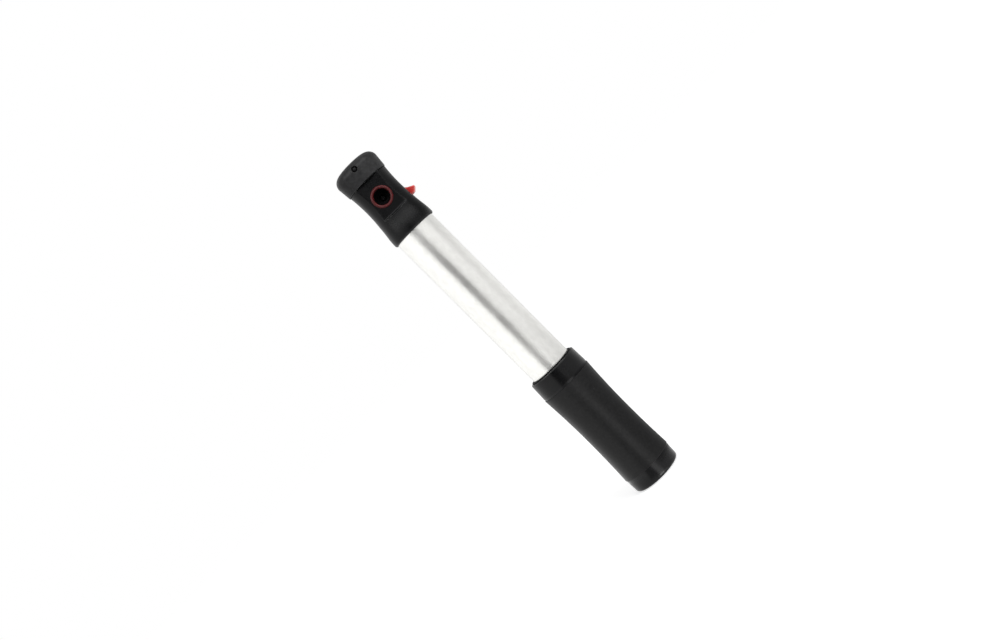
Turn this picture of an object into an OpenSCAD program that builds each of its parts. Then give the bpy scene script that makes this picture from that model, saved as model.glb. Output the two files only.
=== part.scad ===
// Mini hand pump with a push-on valve head, closed and standing on its handle.
// Millimetres. The pump's axis is Z, the valve port faces -Y and the lever's tip is on the +X side.
// The origin is the middle of the handle's flat end.

/* [Barrel] */
// Outside diameter of the barrel tube
barrel_d = 23.2; // [21.6:0.1:25]
// Wall of the barrel tube
barrel_wall = 1.2; // [0.9:0.1:1.6]
// Length of barrel that shows between handle and head when the pump is closed
barrel_show = 96.4; // [80:0.2:150]
// Depth of the barrel inside the head's skirt
socket_depth = 4.8; // [3:0.1:6]

/* [Head] */
// Height of the head from its lower rim to the seam under the cap
head_len = 33.2; // [30:0.1:38]
// Distance of the narrowest place below the seam
waist_down = 10.3; // [8.6:0.1:12]
// Depth of the waist inside the rim's radius
waist_in = 1.65; // [0.8:0.05:1.75]
// Depth of the neck under the cap inside the rim's radius
neck_in = 1.05; // [0.55:0.05:1.2]
// Distance below the seam where the skirt's swell runs into the waist
shoulder_down = 20.8; // [19.4:0.1:22]
// Wall of the skirt around the barrel
skirt_wall = 1.2; // [0.9:0.05:1.6]
// Height of the plain band at the lower rim
rim_band = 1.6; // [1:0.1:3]
// Rounding of the lower rim
rim_round = 0.75; // [0.2:0.05:0.8]
// Depth of the flat port face inside the waist's radius
face_in = 2.1; // [1.6:0.1:2.6]
// Distance of the lower end of the port face below the seam
face_down = 20.4; // [19.6:0.05:21.5]
// Draft of the ledge at the lower end of the port face, in degrees
ledge_draft = 12; // [3:1:45]

/* [Cap] */
// Height of the cap above the seam
cap_len = 11.6; // [11:0.1:16]
// Depth of the cap's foot inside the rim's radius
cap_foot_in = 0.65; // [0.2:0.05:0.8]
// Rounding of the cap's top edge
cap_round = 4.5; // [2:0.1:6]
// Diameter of the post of the head inside the cap
post_d = 14; // [12:0.1:16]
// Height of that post above the seam
post_len = 9.5; // [9.3:0.1:10]
// Diameter of the cross pin that holds the cap
cap_pin_d = 2.4; // [1.6:0.1:2.8]
// Height of the cross pin above the seam
cap_pin_up = 7.6; // [6:0.1:7.9]
// Depth of the pin's ends below the cap's surface
cap_pin_sink = 0.7; // [0.3:0.1:1.5]

/* [Valve port] */
// Distance of the port's axis below the seam
port_down = 10.8; // [10.6:0.1:12]
// Outside diameter of the valve collar
collar_d = 11.3; // [10.7:0.05:12]
// Diameter of the collar's mouth
collar_bore = 8.4; // [8.2:0.1:9]
// Height of the collar above the port face
collar_proud = 0.6; // [0.2:0.1:1.2]
// Depth of the collar's thread below the port face
collar_depth = 2.5; // [1.5:0.1:3]
// Diameter of the bore behind the collar
port_bore = 10.3; // [10:0.1:10.4]
// Inside diameter of the valve gasket
gasket_bore = 8; // [7.6:0.1:8.1]
// Share of the bore behind the collar that the gasket takes, where the plunger takes the rest
gasket_share = 0.46; // [0.42:0.01:0.5]
// Travel of the plunger when the lever is swung out
plunger_travel = 1.6; // [1:0.1:1.9]
// Width of the plunger's air groove
air_groove = 3; // [2.4:0.1:3.2]
// Depth of the plunger's air groove
air_groove_depth = 1.2; // [0.8:0.1:1.4]
// Diameter of the plunger's centre bore
air_bore = 3.6; // [3:0.1:4]
// Diameter of the cross holes and of the passage from the check valve
air_hole = 1.8; // [1.2:0.1:2]
// Diameter of the valve core pin
core_pin_d = 1.8; // [1.2:0.1:2]

/* [Lever] */
// Depth of the lever's pivot inside the waist's radius
pivot_in = 1.7; // [1.4:0.1:2]
// Radius of the cam's base circle
cam_r = 3; // [2.6:0.1:3.2]
// Angle through which the lever swings out
lever_swing = 90; // [60:5:95]
// Diameter of the lever's pivot pin
lever_pin_d = 2.5; // [1.6:0.1:2.8]
// Height of the lever's hub
hub_len = 9; // [7:0.1:9.4]
// Height of each lug that holds the pivot pin
lug_len = 3.8; // [2.5:0.1:4]
// Wall of the lugs around the pin
lug_wall = 1.65; // [1.2:0.05:2]
// Thickness of the lever's arm
lever_t = 2.05; // [1.6:0.05:3]
// Reach of the lever's tip beyond the rim's radius
tip_proud = 2.7; // [2.2:0.05:5]
// Drop of the lever's tip below the port's axis
lever_drop = 6.2; // [5:0.1:6.8]
// Height of the arm where its tip leaves the side of the head
tip_root = 4.9; // [3.5:0.1:6]
// Height of the blunt end of the tip
tip_end = 1.1; // [0.4:0.1:1.6]

/* [Check valve] */
// Depth of the valve plug inside the barrel
plug_depth = 7; // [6:0.1:10]
// Diameter of the plug's threaded neck
plug_neck_d = 13; // [11:0.1:14]
// Length of the plug's threaded neck
plug_neck = 7.3; // [6.5:0.1:8]
// Diameter of the ball
ball_d = 4; // [3:0.1:4.4]
// Diameter of the ball's seat
seat_d = 3; // [2:0.1:3]
// Height of the seat above the plug's lower end
seat_up = 4; // [3:0.1:5]
// Diameter of the chamber around the ball and spring
chamber_d = 5.2; // [5:0.1:6]
// Wire diameter of the check spring
wire_d = 0.4; // [0.3:0.05:0.5]
// Middle diameter of the check spring's coil
coil_d = 3.2; // [3:0.1:3.3]
// Curls of the check spring
curls = 6; // [4:1:7]

/* [Piston and rod] */
// Outside diameter of the piston rod
rod_d = 8; // [7:0.1:9]
// Bore of the piston rod
rod_bore = 5.1; // [4:0.1:5.5]
// Height of the piston
piston_len = 9; // [8.5:0.1:14]
// Depth of the rod's seat in the piston
rod_seat = 2; // [1:0.1:2.2]
// Space between the piston and the valve plug when the pump is closed
top_space = 0.6; // [0.4:0.1:2]
// Width of the piston seal's groove
cup_groove = 4.5; // [3.5:0.1:4.6]
// Depth of the piston seal's groove
cup_depth = 3.1; // [2.4:0.1:3.2]
// Thickness of the piston seal's lips
cup_lip = 0.75; // [0.5:0.05:0.9]
// Diameter of the piston screw's head
piston_screw_d = 8.4; // [7:0.1:9]
// Height of the piston screw's head
piston_screw_head = 2.6; // [2:0.1:2.8]
// Grip of both screws inside the rod
screw_grip = 12; // [8:0.5:20]
// Height of the rubber bumper
bumper_len = 4; // [2:0.1:8]
// Wall of the rubber bumper
bumper_wall = 3.4; // [2:0.1:4]
// Depth of the guide bush inside the barrel
bush_depth = 10; // [6:0.5:16]
// Thickness of the guide bush's flange
bush_flange = 2; // [1:0.1:4]
// Air holes in the guide bush
vents = 4; // [3:1:8]
// Diameter of those air holes
vent_d = 2.4; // [1.5:0.1:3]

/* [Handle] */
// Length of the handle from its end to its mouth
handle_len = 76; // [70:0.5:100]
// Wall of the handle's inner tube
tube_wall = 0.65; // [0.5:0.05:1]
// Wall of the rubber grip at its waist
grip_wall = 0.95; // [0.5:0.05:2]
// Height of the grip's waist above the handle's end
grip_waist_up = 36; // [25:0.5:45]
// Swell of the grip at its front end
grip_front = 1.05; // [0.6:0.05:2]
// Swell of the grip at its rear end
grip_rear = 0.7; // [0.3:0.05:2]
// Length of the front collar
collar_len = 10.4; // [8:0.1:16]
// Swell of the front collar beside the grip
collar_swell = 0.7; // [0.3:0.05:1.5]
// Swell of the front collar at its mouth
mouth_swell = 0.35; // [0.1:0.05:1]
// Length of the mouth bush
mouth_bush_len = 4.5; // [3:0.1:7]
// Height of the mouth bush's lip above the mouth
lip_proud = 0.8; // [0.2:0.05:1]
// Height of the end cap
end_len = 8.4; // [7:0.1:14]
// Floor of the end cap
end_floor = 2; // [1.2:0.1:3]
// Swell of the end cap beside the grip
end_swell = 0.35; // [0.3:0.05:1.5]
// Swell of the end cap near its end
end_foot_swell = 0.05; // [0.05:0.05:1]
// Rounding of the end cap's edge
end_round = 1.5; // [0.5:0.1:2]
// Thickness of the rod anchor
anchor_len = 6; // [4:0.1:9]
// Diameter of the rod screw's head
rod_screw_d = 8; // [7:0.1:10]
// Height of the rod screw's head
rod_screw_head = 2.6; // [2:0.1:4]
// Space under the rod screw's head
screw_space = 0.6; // [0.4:0.1:2]
// Diameter of the washer
washer_d = 11; // [10.5:0.1:14]
// Thickness of the washer
washer_t = 0.6; // [0.4:0.1:1.2]
// Space between the rod anchor and the guide bush when the pump is closed
foot_space = 0.9; // [0.5:0.1:3]

/* [Seals and clearances] */
// Thickness of the plug's seal ring
plug_ring_t = 1.3; // [1:0.1:1.6]
// Thickness of the plunger's seal ring
plunger_ring_t = 1; // [0.8:0.1:1.1]
// Radial clearance between pieces that are fixed to each other
fit_gap = 0.05; // [0.02:0.01:0.08]
// Radial clearance between pieces that slide or turn on each other
run_gap = 0.08; // [0.05:0.01:0.1]
// Clearance that keeps moving pieces off what they pass
free_gap = 0.35; // [0.3:0.05:0.5]
// Clearance above and below pieces that turn on an end face
end_gap = 0.1; // [0.05:0.05:0.2]

/* [Hidden] */
$fn = 96;
// overrun of a cut past the surface that it opens
over = 1;

// heights of the handle's pieces
screw_head_z = end_floor + screw_space;
washer_z = screw_head_z + rod_screw_head;
anchor_z = washer_z + washer_t + end_gap;
anchor_top_z = anchor_z + anchor_len;
rod_z = anchor_top_z + end_gap;
tube_z = end_floor + screw_space;
grip_z = end_len + end_gap;
collar_z = handle_len - collar_len;
tube_top_z = handle_len + lip_proud - mouth_bush_len;

// heights of the barrel's pieces
barrel_z = rod_z + foot_space + bush_flange;
bush_top_z = barrel_z + bush_depth;
head_z = handle_len + barrel_show;
barrel_top_z = head_z + socket_depth;
plug_z = barrel_top_z - plug_depth;
plug_top_z = barrel_top_z + plug_neck;
piston_top_z = plug_z - top_space;
piston_z = piston_top_z - piston_len;
rod_top_z = piston_z + rod_seat;

// heights of the head's pieces
seam_z = head_z + head_len;
waist_z = seam_z - waist_down;
shoulder_z = seam_z - shoulder_down;
face_z = seam_z - face_down;
port_z = seam_z - port_down;
cap_top_z = seam_z + cap_len;
post_top_z = seam_z + post_len;
cap_pin_z = seam_z + cap_pin_up;

// radii along the pump's axis
barrel_r = barrel_d / 2;
bore_r = barrel_r - barrel_wall;
rim_r = barrel_r + skirt_wall;
waist_r = rim_r - waist_in;
neck_r = rim_r - neck_in;
rod_r = rod_d / 2;
rod_bore_r = rod_bore / 2;
shank_r = rod_bore_r - fit_gap;
tube_r = barrel_r + free_gap;
tube_out_r = tube_r + tube_wall;
sleeve_r = tube_out_r + fit_gap;
grip_waist_r = sleeve_r + grip_wall;
bump_out_r = rod_r + bumper_wall;
piston_r = bore_r - free_gap;

// places along the port's axis, measured outward from the pump's axis
pivot_y = waist_r - pivot_in;
face_depth = waist_r - face_in;
collar_in = face_depth - collar_depth;
collar_out = face_depth + collar_proud;
plunger_in = cam_r + end_gap - pivot_y;
gasket_in = collar_in - gasket_share * (collar_in - plunger_in);
groove_mid = gasket_in - air_groove / 2 - (port_bore - gasket_bore) / 2;
port_r = port_bore / 2;
plunger_r = port_r - run_gap;

// the lever and its cam, whose lift grows evenly with the angle
lift_rate = plunger_travel / (lever_swing * PI / 180);
cam_top_r = norm([cam_r + plunger_travel, lift_rate]);
lug_r = lever_pin_d / 2 + lug_wall;
slot_half = hub_len / 2 + end_gap;
arm_low_z = port_z - lever_drop - tip_root / 2;
arm_in_r = max(head_radius(arm_low_z), head_radius(port_z + hub_len / 2)) + free_gap;
arm_out_r = arm_in_r + lever_t;
lever_reach = rim_r + tip_proud;
slot_left = max(cam_top_r, norm([arm_out_r - pivot_y, over])) + free_gap;
slot_right = cam_r + free_gap;

// points of an arc about a centre, from one angle to another
function arc(cx, cy, r, a0, a1, n) =
    [for (i = [0:n]) let (a = a0 + (a1 - a0) * i / n) [cx + r * cos(a), cy + r * sin(a)]];

// radius of the head's waist, which widens with the square of the distance from its narrowest place
function waist_radius(z) =
    waist_r + (neck_r - waist_r) * pow((z - waist_z) / waist_down, 2);

// radius of the skirt's swell, an S curve from the shoulder down to the rim's band
function swell_radius(z) =
    let (t = (shoulder_z - z) / (shoulder_z - head_z - rim_band), r = waist_radius(shoulder_z))
    r + (rim_r - r) * (t * t * (3 - 2 * t) + t * (1 - t) * (1 - t) / 2);

// radius of the head's outside at a height
function head_radius(z) = z < shoulder_z ? swell_radius(z) : waist_radius(z);

// radius of the grip, which swells to each end with the square of the distance from its waist
function grip_radius(z) =
    let (front = z > grip_waist_up)
    grip_waist_r + (front ? grip_front : grip_rear)
        * pow((z - grip_waist_up) / ((front ? collar_z : grip_z) - grip_waist_up), 2);

// height of the ball's middle when it rests on its seat
function ball_z() = plug_z + seat_up + sqrt(ball_d * ball_d - seat_d * seat_d) / 2 + end_gap / 4;

module tube(out_r, in_r, z0, z1) {
    translate([0, 0, z0])
        difference() {
            cylinder(r = out_r, h = z1 - z0);
            translate([0, 0, -over])
                cylinder(r = in_r, h = z1 - z0 + 2 * over);
        }
}

// turns a shape that is built along Z to point out of the valve port
module along_port() {
    translate([0, 0, port_z])
        rotate([90, 0, 0])
            children();
}

module seal_ring(out_r, thickness) {
    rotate_extrude()
        translate([out_r - thickness / 2, 0])
            circle(d = thickness, $fn = 32);
}

// hexagon socket of a screw, cut downward from z = 0
module hex_socket(across, depth) {
    translate([0, 0, -depth])
        cylinder(d = across, h = depth + over, $fn = 6);
}

module head_housing() {
    rings = 16;
    band_z = head_z + rim_band;
    outline = concat(
        [[0, head_z], [rim_r - rim_round, head_z]],
        arc(rim_r - rim_round, head_z + rim_round, rim_round, -90, 0, 4),
        [for (i = [0:rings]) let (z = band_z + (seam_z - band_z) * i / rings) [head_radius(z), z]],
        [[post_d / 2, seam_z], [post_d / 2, post_top_z], [0, post_top_z]]);
    color("#26272a")
        difference() {
            union() {
                rotate_extrude()
                    polygon(outline);
                for (z = [port_z - slot_half - lug_len, port_z + slot_half])
                    translate([0, pivot_y, z])
                        lug();
            }
            translate([0, 0, head_z - over])
                cylinder(r = barrel_r + fit_gap, h = socket_depth + over);
            translate([0, 0, barrel_top_z - over])
                cylinder(d = plug_neck_d + 2 * fit_gap, h = plug_neck + over);
            translate([0, -groove_mid, plug_top_z - over])
                cylinder(d = air_hole, h = port_z - plug_top_z + over);
            port_cuts();
            port_face_cut();
            lever_slot();
            translate([0, pivot_y, port_z - slot_half - lug_len])
                cylinder(d = lever_pin_d + 2 * fit_gap, h = seam_z - port_z + slot_half + lug_len + over);
            translate([0, 0, cap_pin_z])
                rotate([90, 0, 0])
                    cylinder(d = cap_pin_d + 2 * fit_gap, h = post_d + 2 * over, center = true);
        }
}

// lug around the lever's pivot, with a web back into the head
module lug() {
    web = 0.9;
    linear_extrude(lug_len) {
        circle(r = lug_r);
        translate([-lug_r * web, -lug_r])
            square([2 * lug_r * web, lug_r]);
    }
}

// bore of the gasket and plunger, and the collar's thread in front of it
module port_cuts() {
    along_port() {
        translate([0, 0, plunger_in - over])
            cylinder(r = port_r, h = collar_in - plunger_in + over);
        translate([0, 0, collar_in])
            cylinder(d = collar_d + 2 * fit_gap, h = rim_r);
    }
}

// flat in front of the port, with a drafted ledge at its lower end
module port_face_cut() {
    reach = 2 * rim_r;
    rotate([90, 0, 90])
        translate([0, 0, -reach])
            linear_extrude(2 * reach)
                polygon([[-face_depth, seam_z], [-face_depth, face_z],
                    [-face_depth - reach, face_z - reach * tan(ledge_draft)],
                    [-face_depth - reach, seam_z]]);
}

// room for the lever's hub and cam, open to the back
module lever_slot() {
    front_y = pivot_y - cam_top_r - free_gap;
    translate([-slot_left, front_y, port_z - slot_half])
        cube([slot_left + slot_right, 2 * rim_r, 2 * slot_half]);
}

module top_cap() {
    foot = rim_r - cap_foot_in;
    edge = cap_foot_in / 2;
    hole_r = post_d / 2 + fit_gap;
    hole_top = post_top_z + fit_gap;
    color("#2b2c2f")
        difference() {
            rotate_extrude()
                polygon(concat(
                    [[0, hole_top], [hole_r, hole_top], [hole_r, seam_z],
                        [foot - edge, seam_z], [foot, seam_z + edge]],
                    arc(rim_r - cap_round, cap_top_z - cap_round, cap_round, 0, 90, 10),
                    [[0, cap_top_z]]));
            translate([0, 0, cap_pin_z])
                rotate([90, 0, 0])
                    cylinder(d = cap_pin_d + 2 * free_gap, h = 4 * rim_r, center = true);
        }
}

module cap_pin() {
    half = rim_r - cap_pin_sink;
    dome = cap_pin_d / 4;
    r = cap_pin_d / 2;
    ball = (r * r + dome * dome) / (2 * dome);
    side = asin(r / ball);
    color("#3c3d40")
        translate([0, 0, cap_pin_z])
            rotate([90, 0, 0])
                rotate_extrude()
                    polygon(concat(
                        arc(0, ball - half, ball, -90, side - 90, 6),
                        arc(0, half - ball, ball, 90 - side, 90, 6)));
}

module valve_collar() {
    out_r = collar_d / 2;
    in_r = collar_bore / 2;
    lip_r = (out_r - in_r) / 2;
    color("#8c2f2b")
        along_port()
            rotate_extrude()
                polygon(concat(
                    [[in_r, collar_in], [out_r, collar_in]],
                    arc(in_r + lip_r, collar_out - lip_r, lip_r, 0, 180, 12)));
}

module valve_gasket() {
    color("#161617")
        along_port()
            tube(port_r - fit_gap, gasket_bore / 2, gasket_in, collar_in);
}

module gasket_plunger() {
    ring_z = plunger_in + (groove_mid - air_groove / 2 - plunger_in) / 2;
    ring_half = plunger_ring_t / 2 + end_gap;
    groove_r = plunger_r - air_groove_depth;
    floor_z = groove_mid - air_groove / 2;
    color("#2c2d30")
        along_port()
            difference() {
                rotate_extrude()
                    polygon([[0, plunger_in], [plunger_r, plunger_in],
                        [plunger_r, ring_z - ring_half], [plunger_r - plunger_ring_t, ring_z - ring_half],
                        [plunger_r - plunger_ring_t, ring_z + ring_half], [plunger_r, ring_z + ring_half],
                        [plunger_r, floor_z], [groove_r, floor_z],
                        [groove_r, groove_mid + air_groove / 2], [plunger_r, groove_mid + air_groove / 2],
                        [plunger_r, gasket_in], [0, gasket_in]]);
                translate([0, 0, floor_z])
                    cylinder(d = air_bore, h = gasket_in - floor_z + over);
                for (turn = [0, 90])
                    rotate([0, 0, turn])
                        translate([0, 0, groove_mid])
                            rotate([90, 0, 0])
                                cylinder(d = air_hole, h = port_bore, center = true);
            }
}

module plunger_oring() {
    ring_z = plunger_in + (groove_mid - air_groove / 2 - plunger_in) / 2;
    color("#1c1c1d")
        along_port()
            translate([0, 0, ring_z])
                seal_ring(plunger_r, plunger_ring_t - end_gap);
}

// valve core pin on a thin foot that sits at the bottom of the plunger's bore
module core_pin() {
    floor_z = groove_mid - air_groove / 2;
    foot_t = air_groove / 2 - air_hole / 2 - end_gap;
    foot_r = air_bore / 2 - fit_gap;
    color("#3c3d40")
        along_port()
            rotate_extrude()
                polygon([[0, floor_z], [foot_r, floor_z], [foot_r, floor_z + foot_t],
                    [core_pin_d / 2, floor_z + foot_t], [core_pin_d / 2, gasket_in - end_gap],
                    [0, gasket_in - end_gap]]);
}

// the cam's edge is the curve whose flat follower moves evenly with the angle
module cam_outline() {
    steps = 12;
    edge = [for (i = [0:steps])
        let (turn = lever_swing * i / steps, lift = cam_r + lift_rate * turn * PI / 180, a = -90 - turn)
        [lift * cos(a) + lift_rate * sin(a), lift * sin(a) - lift_rate * cos(a)]];
    circle(r = cam_r);
    polygon(concat(edge, arc(0, 0, cam_r, 110, 90, 1), [[0, 0]]));
}

// the arm seen from above: a band around the head that flares out into the thumb tip
module arm_plan() {
    tip_a = 24;
    flare_a = 40;
    tip_y = arm_in_r * sin(tip_a);
    nib = lever_t / 4;
    far = 2 * arm_out_r;
    intersection() {
        difference() {
            circle(r = arm_out_r);
            circle(r = arm_in_r);
        }
        polygon([[0, 0], [far * cos(tip_a), far * sin(tip_a)], [far, far], [-over, far]]);
    }
    root_r = arm_in_r + nib / 8;
    flare_r = arm_out_r - nib / 4;
    polygon([[root_r * cos(tip_a), root_r * sin(tip_a)], [lever_reach - nib, tip_y - nib],
        [lever_reach, tip_y], [lever_reach, tip_y + nib],
        [flare_r * cos(flare_a), flare_r * sin(flare_a)]]);
    polygon([[-over, pivot_y], [-over, arm_in_r + lever_t / 2], [slot_right, arm_in_r],
        [cam_r * cos(30), pivot_y + cam_r * sin(30)]]);
}

// the arm seen from the front: it narrows and drops from the hub to the tip
module arm_front() {
    half = hub_len / 2;
    side_x = arm_in_r;
    root_low = -lever_drop - tip_root / 2;
    root_high = root_low + tip_root;
    bend_x = slot_right + free_gap + over;
    polygon([[-slot_left, -half], [-slot_left, half], [cam_r, half],
        [bend_x + lever_t, (half + root_high) / 2 + over], [side_x, root_high],
        [lever_reach, tip_end / 2 - lever_drop], [lever_reach, -tip_end / 2 - lever_drop],
        [(lever_reach + side_x) / 2, root_low + over / 4], [side_x, root_low],
        [bend_x + lever_t, root_low + over], [bend_x, -half]]);
}

module lock_lever() {
    color("#d8322c")
        difference() {
            union() {
                translate([0, pivot_y, port_z - hub_len / 2])
                    linear_extrude(hub_len)
                        cam_outline();
                intersection() {
                    translate([0, 0, head_z])
                        linear_extrude(head_len)
                            arm_plan();
                    translate([0, 2 * arm_out_r, port_z])
                        rotate([90, 0, 0])
                            linear_extrude(3 * arm_out_r)
                                arm_front();
                }
            }
            translate([0, pivot_y, port_z - hub_len])
                cylinder(d = lever_pin_d + 2 * run_gap, h = 2 * hub_len);
        }
}

module lever_pin() {
    z0 = port_z - slot_half - lug_len;
    color("#b9bcc0")
        translate([0, pivot_y, z0])
            cylinder(d = lever_pin_d, h = 2 * (slot_half + lug_len));
}

module valve_plug() {
    flange_r = bore_r - fit_gap;
    stem_r = plug_neck_d / 2;
    ring_z = plug_z + plug_depth / 2;
    ring_half = plug_ring_t / 2 + end_gap;
    ring_r = flange_r - plug_ring_t;
    color("#b7b3a8")
        difference() {
            rotate_extrude()
                polygon([[0, plug_z], [flange_r, plug_z], [flange_r, ring_z - ring_half],
                    [ring_r, ring_z - ring_half], [ring_r, ring_z + ring_half],
                    [flange_r, ring_z + ring_half], [flange_r, barrel_top_z], [stem_r, barrel_top_z],
                    [stem_r, plug_top_z], [0, plug_top_z]]);
            translate([0, 0, plug_z - over])
                cylinder(d = seat_d, h = seat_up + 2 * over);
            translate([0, 0, plug_z + seat_up])
                cylinder(d = chamber_d, h = plug_top_z - plug_z);
        }
}

module plug_oring() {
    color("#1c1c1d")
        translate([0, 0, plug_z + plug_depth / 2])
            seal_ring(bore_r - fit_gap, plug_ring_t - end_gap);
}

module check_ball() {
    color("#c8cacd")
        translate([0, 0, ball_z()])
            sphere(d = ball_d);
}

// height of the spring's lowest curl, on the ball's shoulder, and of its highest, under the head
spring_z = ball_z() + sqrt(ball_d * ball_d - coil_d * coil_d) / 2 + wire_d / 2 + end_gap;
spring_top_z = plug_top_z - wire_d / 2 - end_gap;
spring_sides = 6;
spring_steps = 8 * curls;

function spring_point(i) =
    let (a = 360 * curls * i / spring_steps)
    [coil_d / 2 * cos(a), coil_d / 2 * sin(a), spring_z + (spring_top_z - spring_z) * i / spring_steps];

// ring of points around the wire, square to the coil
function spring_ring(i) =
    let (c = spring_point(i), a = 360 * curls * i / spring_steps)
    [for (k = [0:spring_sides - 1]) let (b = 360 * k / spring_sides)
        c + wire_d / 2 * [cos(b) * cos(a), cos(b) * sin(a), sin(b)]];

spring_gap = min([for (i = [0:spring_steps - 8]) for (k = [6:10])
    if (i + k <= spring_steps) norm(spring_point(i + k) - spring_point(i))]) - wire_d;
echo(check_spring_least_self_gap_mm = spring_gap);

module check_spring() {
    n = spring_sides;
    points = [for (i = [0:spring_steps]) each spring_ring(i)];
    last = n * spring_steps;
    skin = [for (i = [0:spring_steps - 1]) for (k = [0:n - 1])
        let (a = n * i + k, b = n * i + (k + 1) % n)
        each [[a, b, b + n], [a, b + n, a + n]]];
    ends = [for (k = [1:n - 2]) each [[0, k + 1, k], [last, last + k, last + k + 1]]];
    color("#a9adb2")
        polyhedron(points, concat(skin, ends));
}

module barrel_tube() {
    color("#d9d9d7")
        tube(barrel_r, bore_r, barrel_z, barrel_top_z);
}

module guide_bush() {
    spread = (rod_r + bore_r) / 2;
    color("#3a3b3e")
        difference() {
            union() {
                translate([0, 0, barrel_z - bush_flange])
                    cylinder(r = barrel_r, h = bush_flange);
                translate([0, 0, barrel_z])
                    cylinder(r = bore_r - fit_gap, h = bush_depth);
            }
            translate([0, 0, barrel_z - bush_flange - over])
                cylinder(r = rod_r + run_gap, h = bush_flange + bush_depth + 2 * over);
            for (i = [0:vents - 1])
                rotate([0, 0, 360 * i / vents])
                    translate([spread, 0, barrel_z - bush_flange - over])
                        cylinder(d = vent_d, h = bush_flange + bush_depth + 2 * over);
        }
}

module piston_rod() {
    color("#c6c8ca")
        tube(rod_r, rod_bore_r, rod_z, rod_top_z);
}

module piston_head() {
    groove_z = piston_top_z - piston_screw_head - cup_groove + rod_seat / 2;
    color("#e2e0d8")
        difference() {
            rotate_extrude()
                polygon([[0, piston_z], [piston_r, piston_z], [piston_r, groove_z],
                    [piston_r - cup_depth, groove_z], [piston_r - cup_depth, groove_z + cup_groove],
                    [piston_r, groove_z + cup_groove], [piston_r, piston_top_z], [0, piston_top_z]]);
            translate([0, 0, piston_z - over])
                cylinder(r = rod_r + fit_gap, h = rod_seat + over);
            translate([0, 0, piston_z])
                cylinder(r = shank_r + fit_gap, h = piston_len + over);
            translate([0, 0, piston_top_z - piston_screw_head])
                cylinder(d = piston_screw_d + 2 * fit_gap, h = piston_screw_head + over);
        }
}

// cup seal: a web at the bottom, an inner wall and a lip that leans out to the barrel
module piston_cup() {
    z0 = piston_top_z - piston_screw_head - cup_groove + rod_seat / 2 + fit_gap;
    z1 = z0 + cup_groove - 2 * fit_gap;
    in_r = piston_r - cup_depth + fit_gap;
    out_r = bore_r - run_gap;
    web_z = z0 + cup_lip + cup_groove / 4;
    color("#202122")
        rotate_extrude()
            polygon([[in_r, z0], [piston_r, z0], [out_r, z1 - cup_lip / 2], [out_r, z1],
                [out_r - cup_lip, z1], [piston_r - cup_lip, web_z], [in_r + cup_lip, web_z],
                [in_r + cup_lip, z1], [in_r, z1]]);
}

module piston_screw() {
    color("#8f9296")
        difference() {
            union() {
                translate([0, 0, piston_top_z - piston_screw_head])
                    cylinder(d = piston_screw_d, h = piston_screw_head);
                translate([0, 0, rod_top_z - screw_grip])
                    cylinder(r = shank_r, h = piston_top_z - piston_screw_head - rod_top_z + screw_grip);
            }
            translate([0, 0, piston_top_z])
                hex_socket(piston_screw_d / 2, piston_screw_head / 2);
        }
}

module rod_bumper() {
    color("#1b1b1c")
        tube(bump_out_r, rod_r + fit_gap, piston_z - bumper_len, piston_z);
}

// shoulder screw: the handle turns on its shank
module rod_screw() {
    color("#8f9296")
        difference() {
            union() {
                translate([0, 0, screw_head_z])
                    cylinder(d = rod_screw_d, h = rod_screw_head);
                translate([0, 0, washer_z])
                    cylinder(r = shank_r, h = rod_z - washer_z + screw_grip);
            }
            translate([0, 0, screw_head_z])
                mirror([0, 0, 1])
                    hex_socket(rod_screw_d / 2, rod_screw_head / 2);
        }
}

module rod_washer() {
    color("#b9bcc0")
        tube(washer_d / 2, shank_r + fit_gap, washer_z, washer_z + washer_t);
}

module handle_tube() {
    color("#2a2b2d")
        tube(tube_out_r, tube_r, tube_z, tube_top_z);
}

module rod_anchor() {
    color("#3a3b3e")
        tube(tube_r - fit_gap, shank_r + run_gap, anchor_z, anchor_top_z);
}

module grip_sleeve() {
    rings = 10;
    edge = grip_wall / 2;
    top_z = collar_z - end_gap;
    color("#202123")
        rotate_extrude()
            polygon(concat(
                [[sleeve_r, grip_z], [grip_radius(grip_z) - edge, grip_z]],
                [for (i = [0:rings])
                    let (z = grip_z + edge + (grip_waist_up - grip_z - edge) * i / rings)
                    [grip_radius(z), z]],
                [for (i = [1:rings])
                    let (z = grip_waist_up + (top_z - edge - grip_waist_up) * i / rings)
                    [grip_radius(z), z]],
                [[grip_radius(top_z) - edge, top_z], [sleeve_r, top_z]]));
}

module front_collar() {
    mouth_r = grip_waist_r + mouth_swell;
    round_r = (mouth_r - sleeve_r) / 2;
    color("#17181a")
        rotate_extrude()
            polygon(concat(
                [[sleeve_r, collar_z], [grip_waist_r + collar_swell - end_gap, collar_z],
                    [grip_waist_r + collar_swell, collar_z + collar_len / 8]],
                arc(mouth_r - round_r, handle_len - round_r, round_r, 0, 90, 6),
                [[sleeve_r, handle_len]]));
}

// guide ring on the tube's end, with a rounded lip beside the barrel
module mouth_bush() {
    in_r = barrel_r + run_gap;
    lip = (tube_out_r - in_r) / 2;
    top_z = handle_len + lip_proud;
    color("#101112")
        rotate_extrude()
            polygon(concat(
                [[in_r, tube_top_z], [tube_out_r, tube_top_z]],
                arc(in_r + lip, top_z - lip, lip, 0, 180, 8)));
}

module end_cap() {
    side_r = grip_waist_r + end_swell;
    foot_r = grip_waist_r + end_foot_swell;
    color("#17181a")
        rotate_extrude()
            polygon(concat(
                [[0, 0]],
                arc(foot_r - end_round, end_round, end_round, -90, 0, 6),
                [[side_r, end_len - end_gap], [side_r - end_gap, end_len], [sleeve_r, end_len],
                    [sleeve_r, end_floor], [0, end_floor]]));
}

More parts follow.
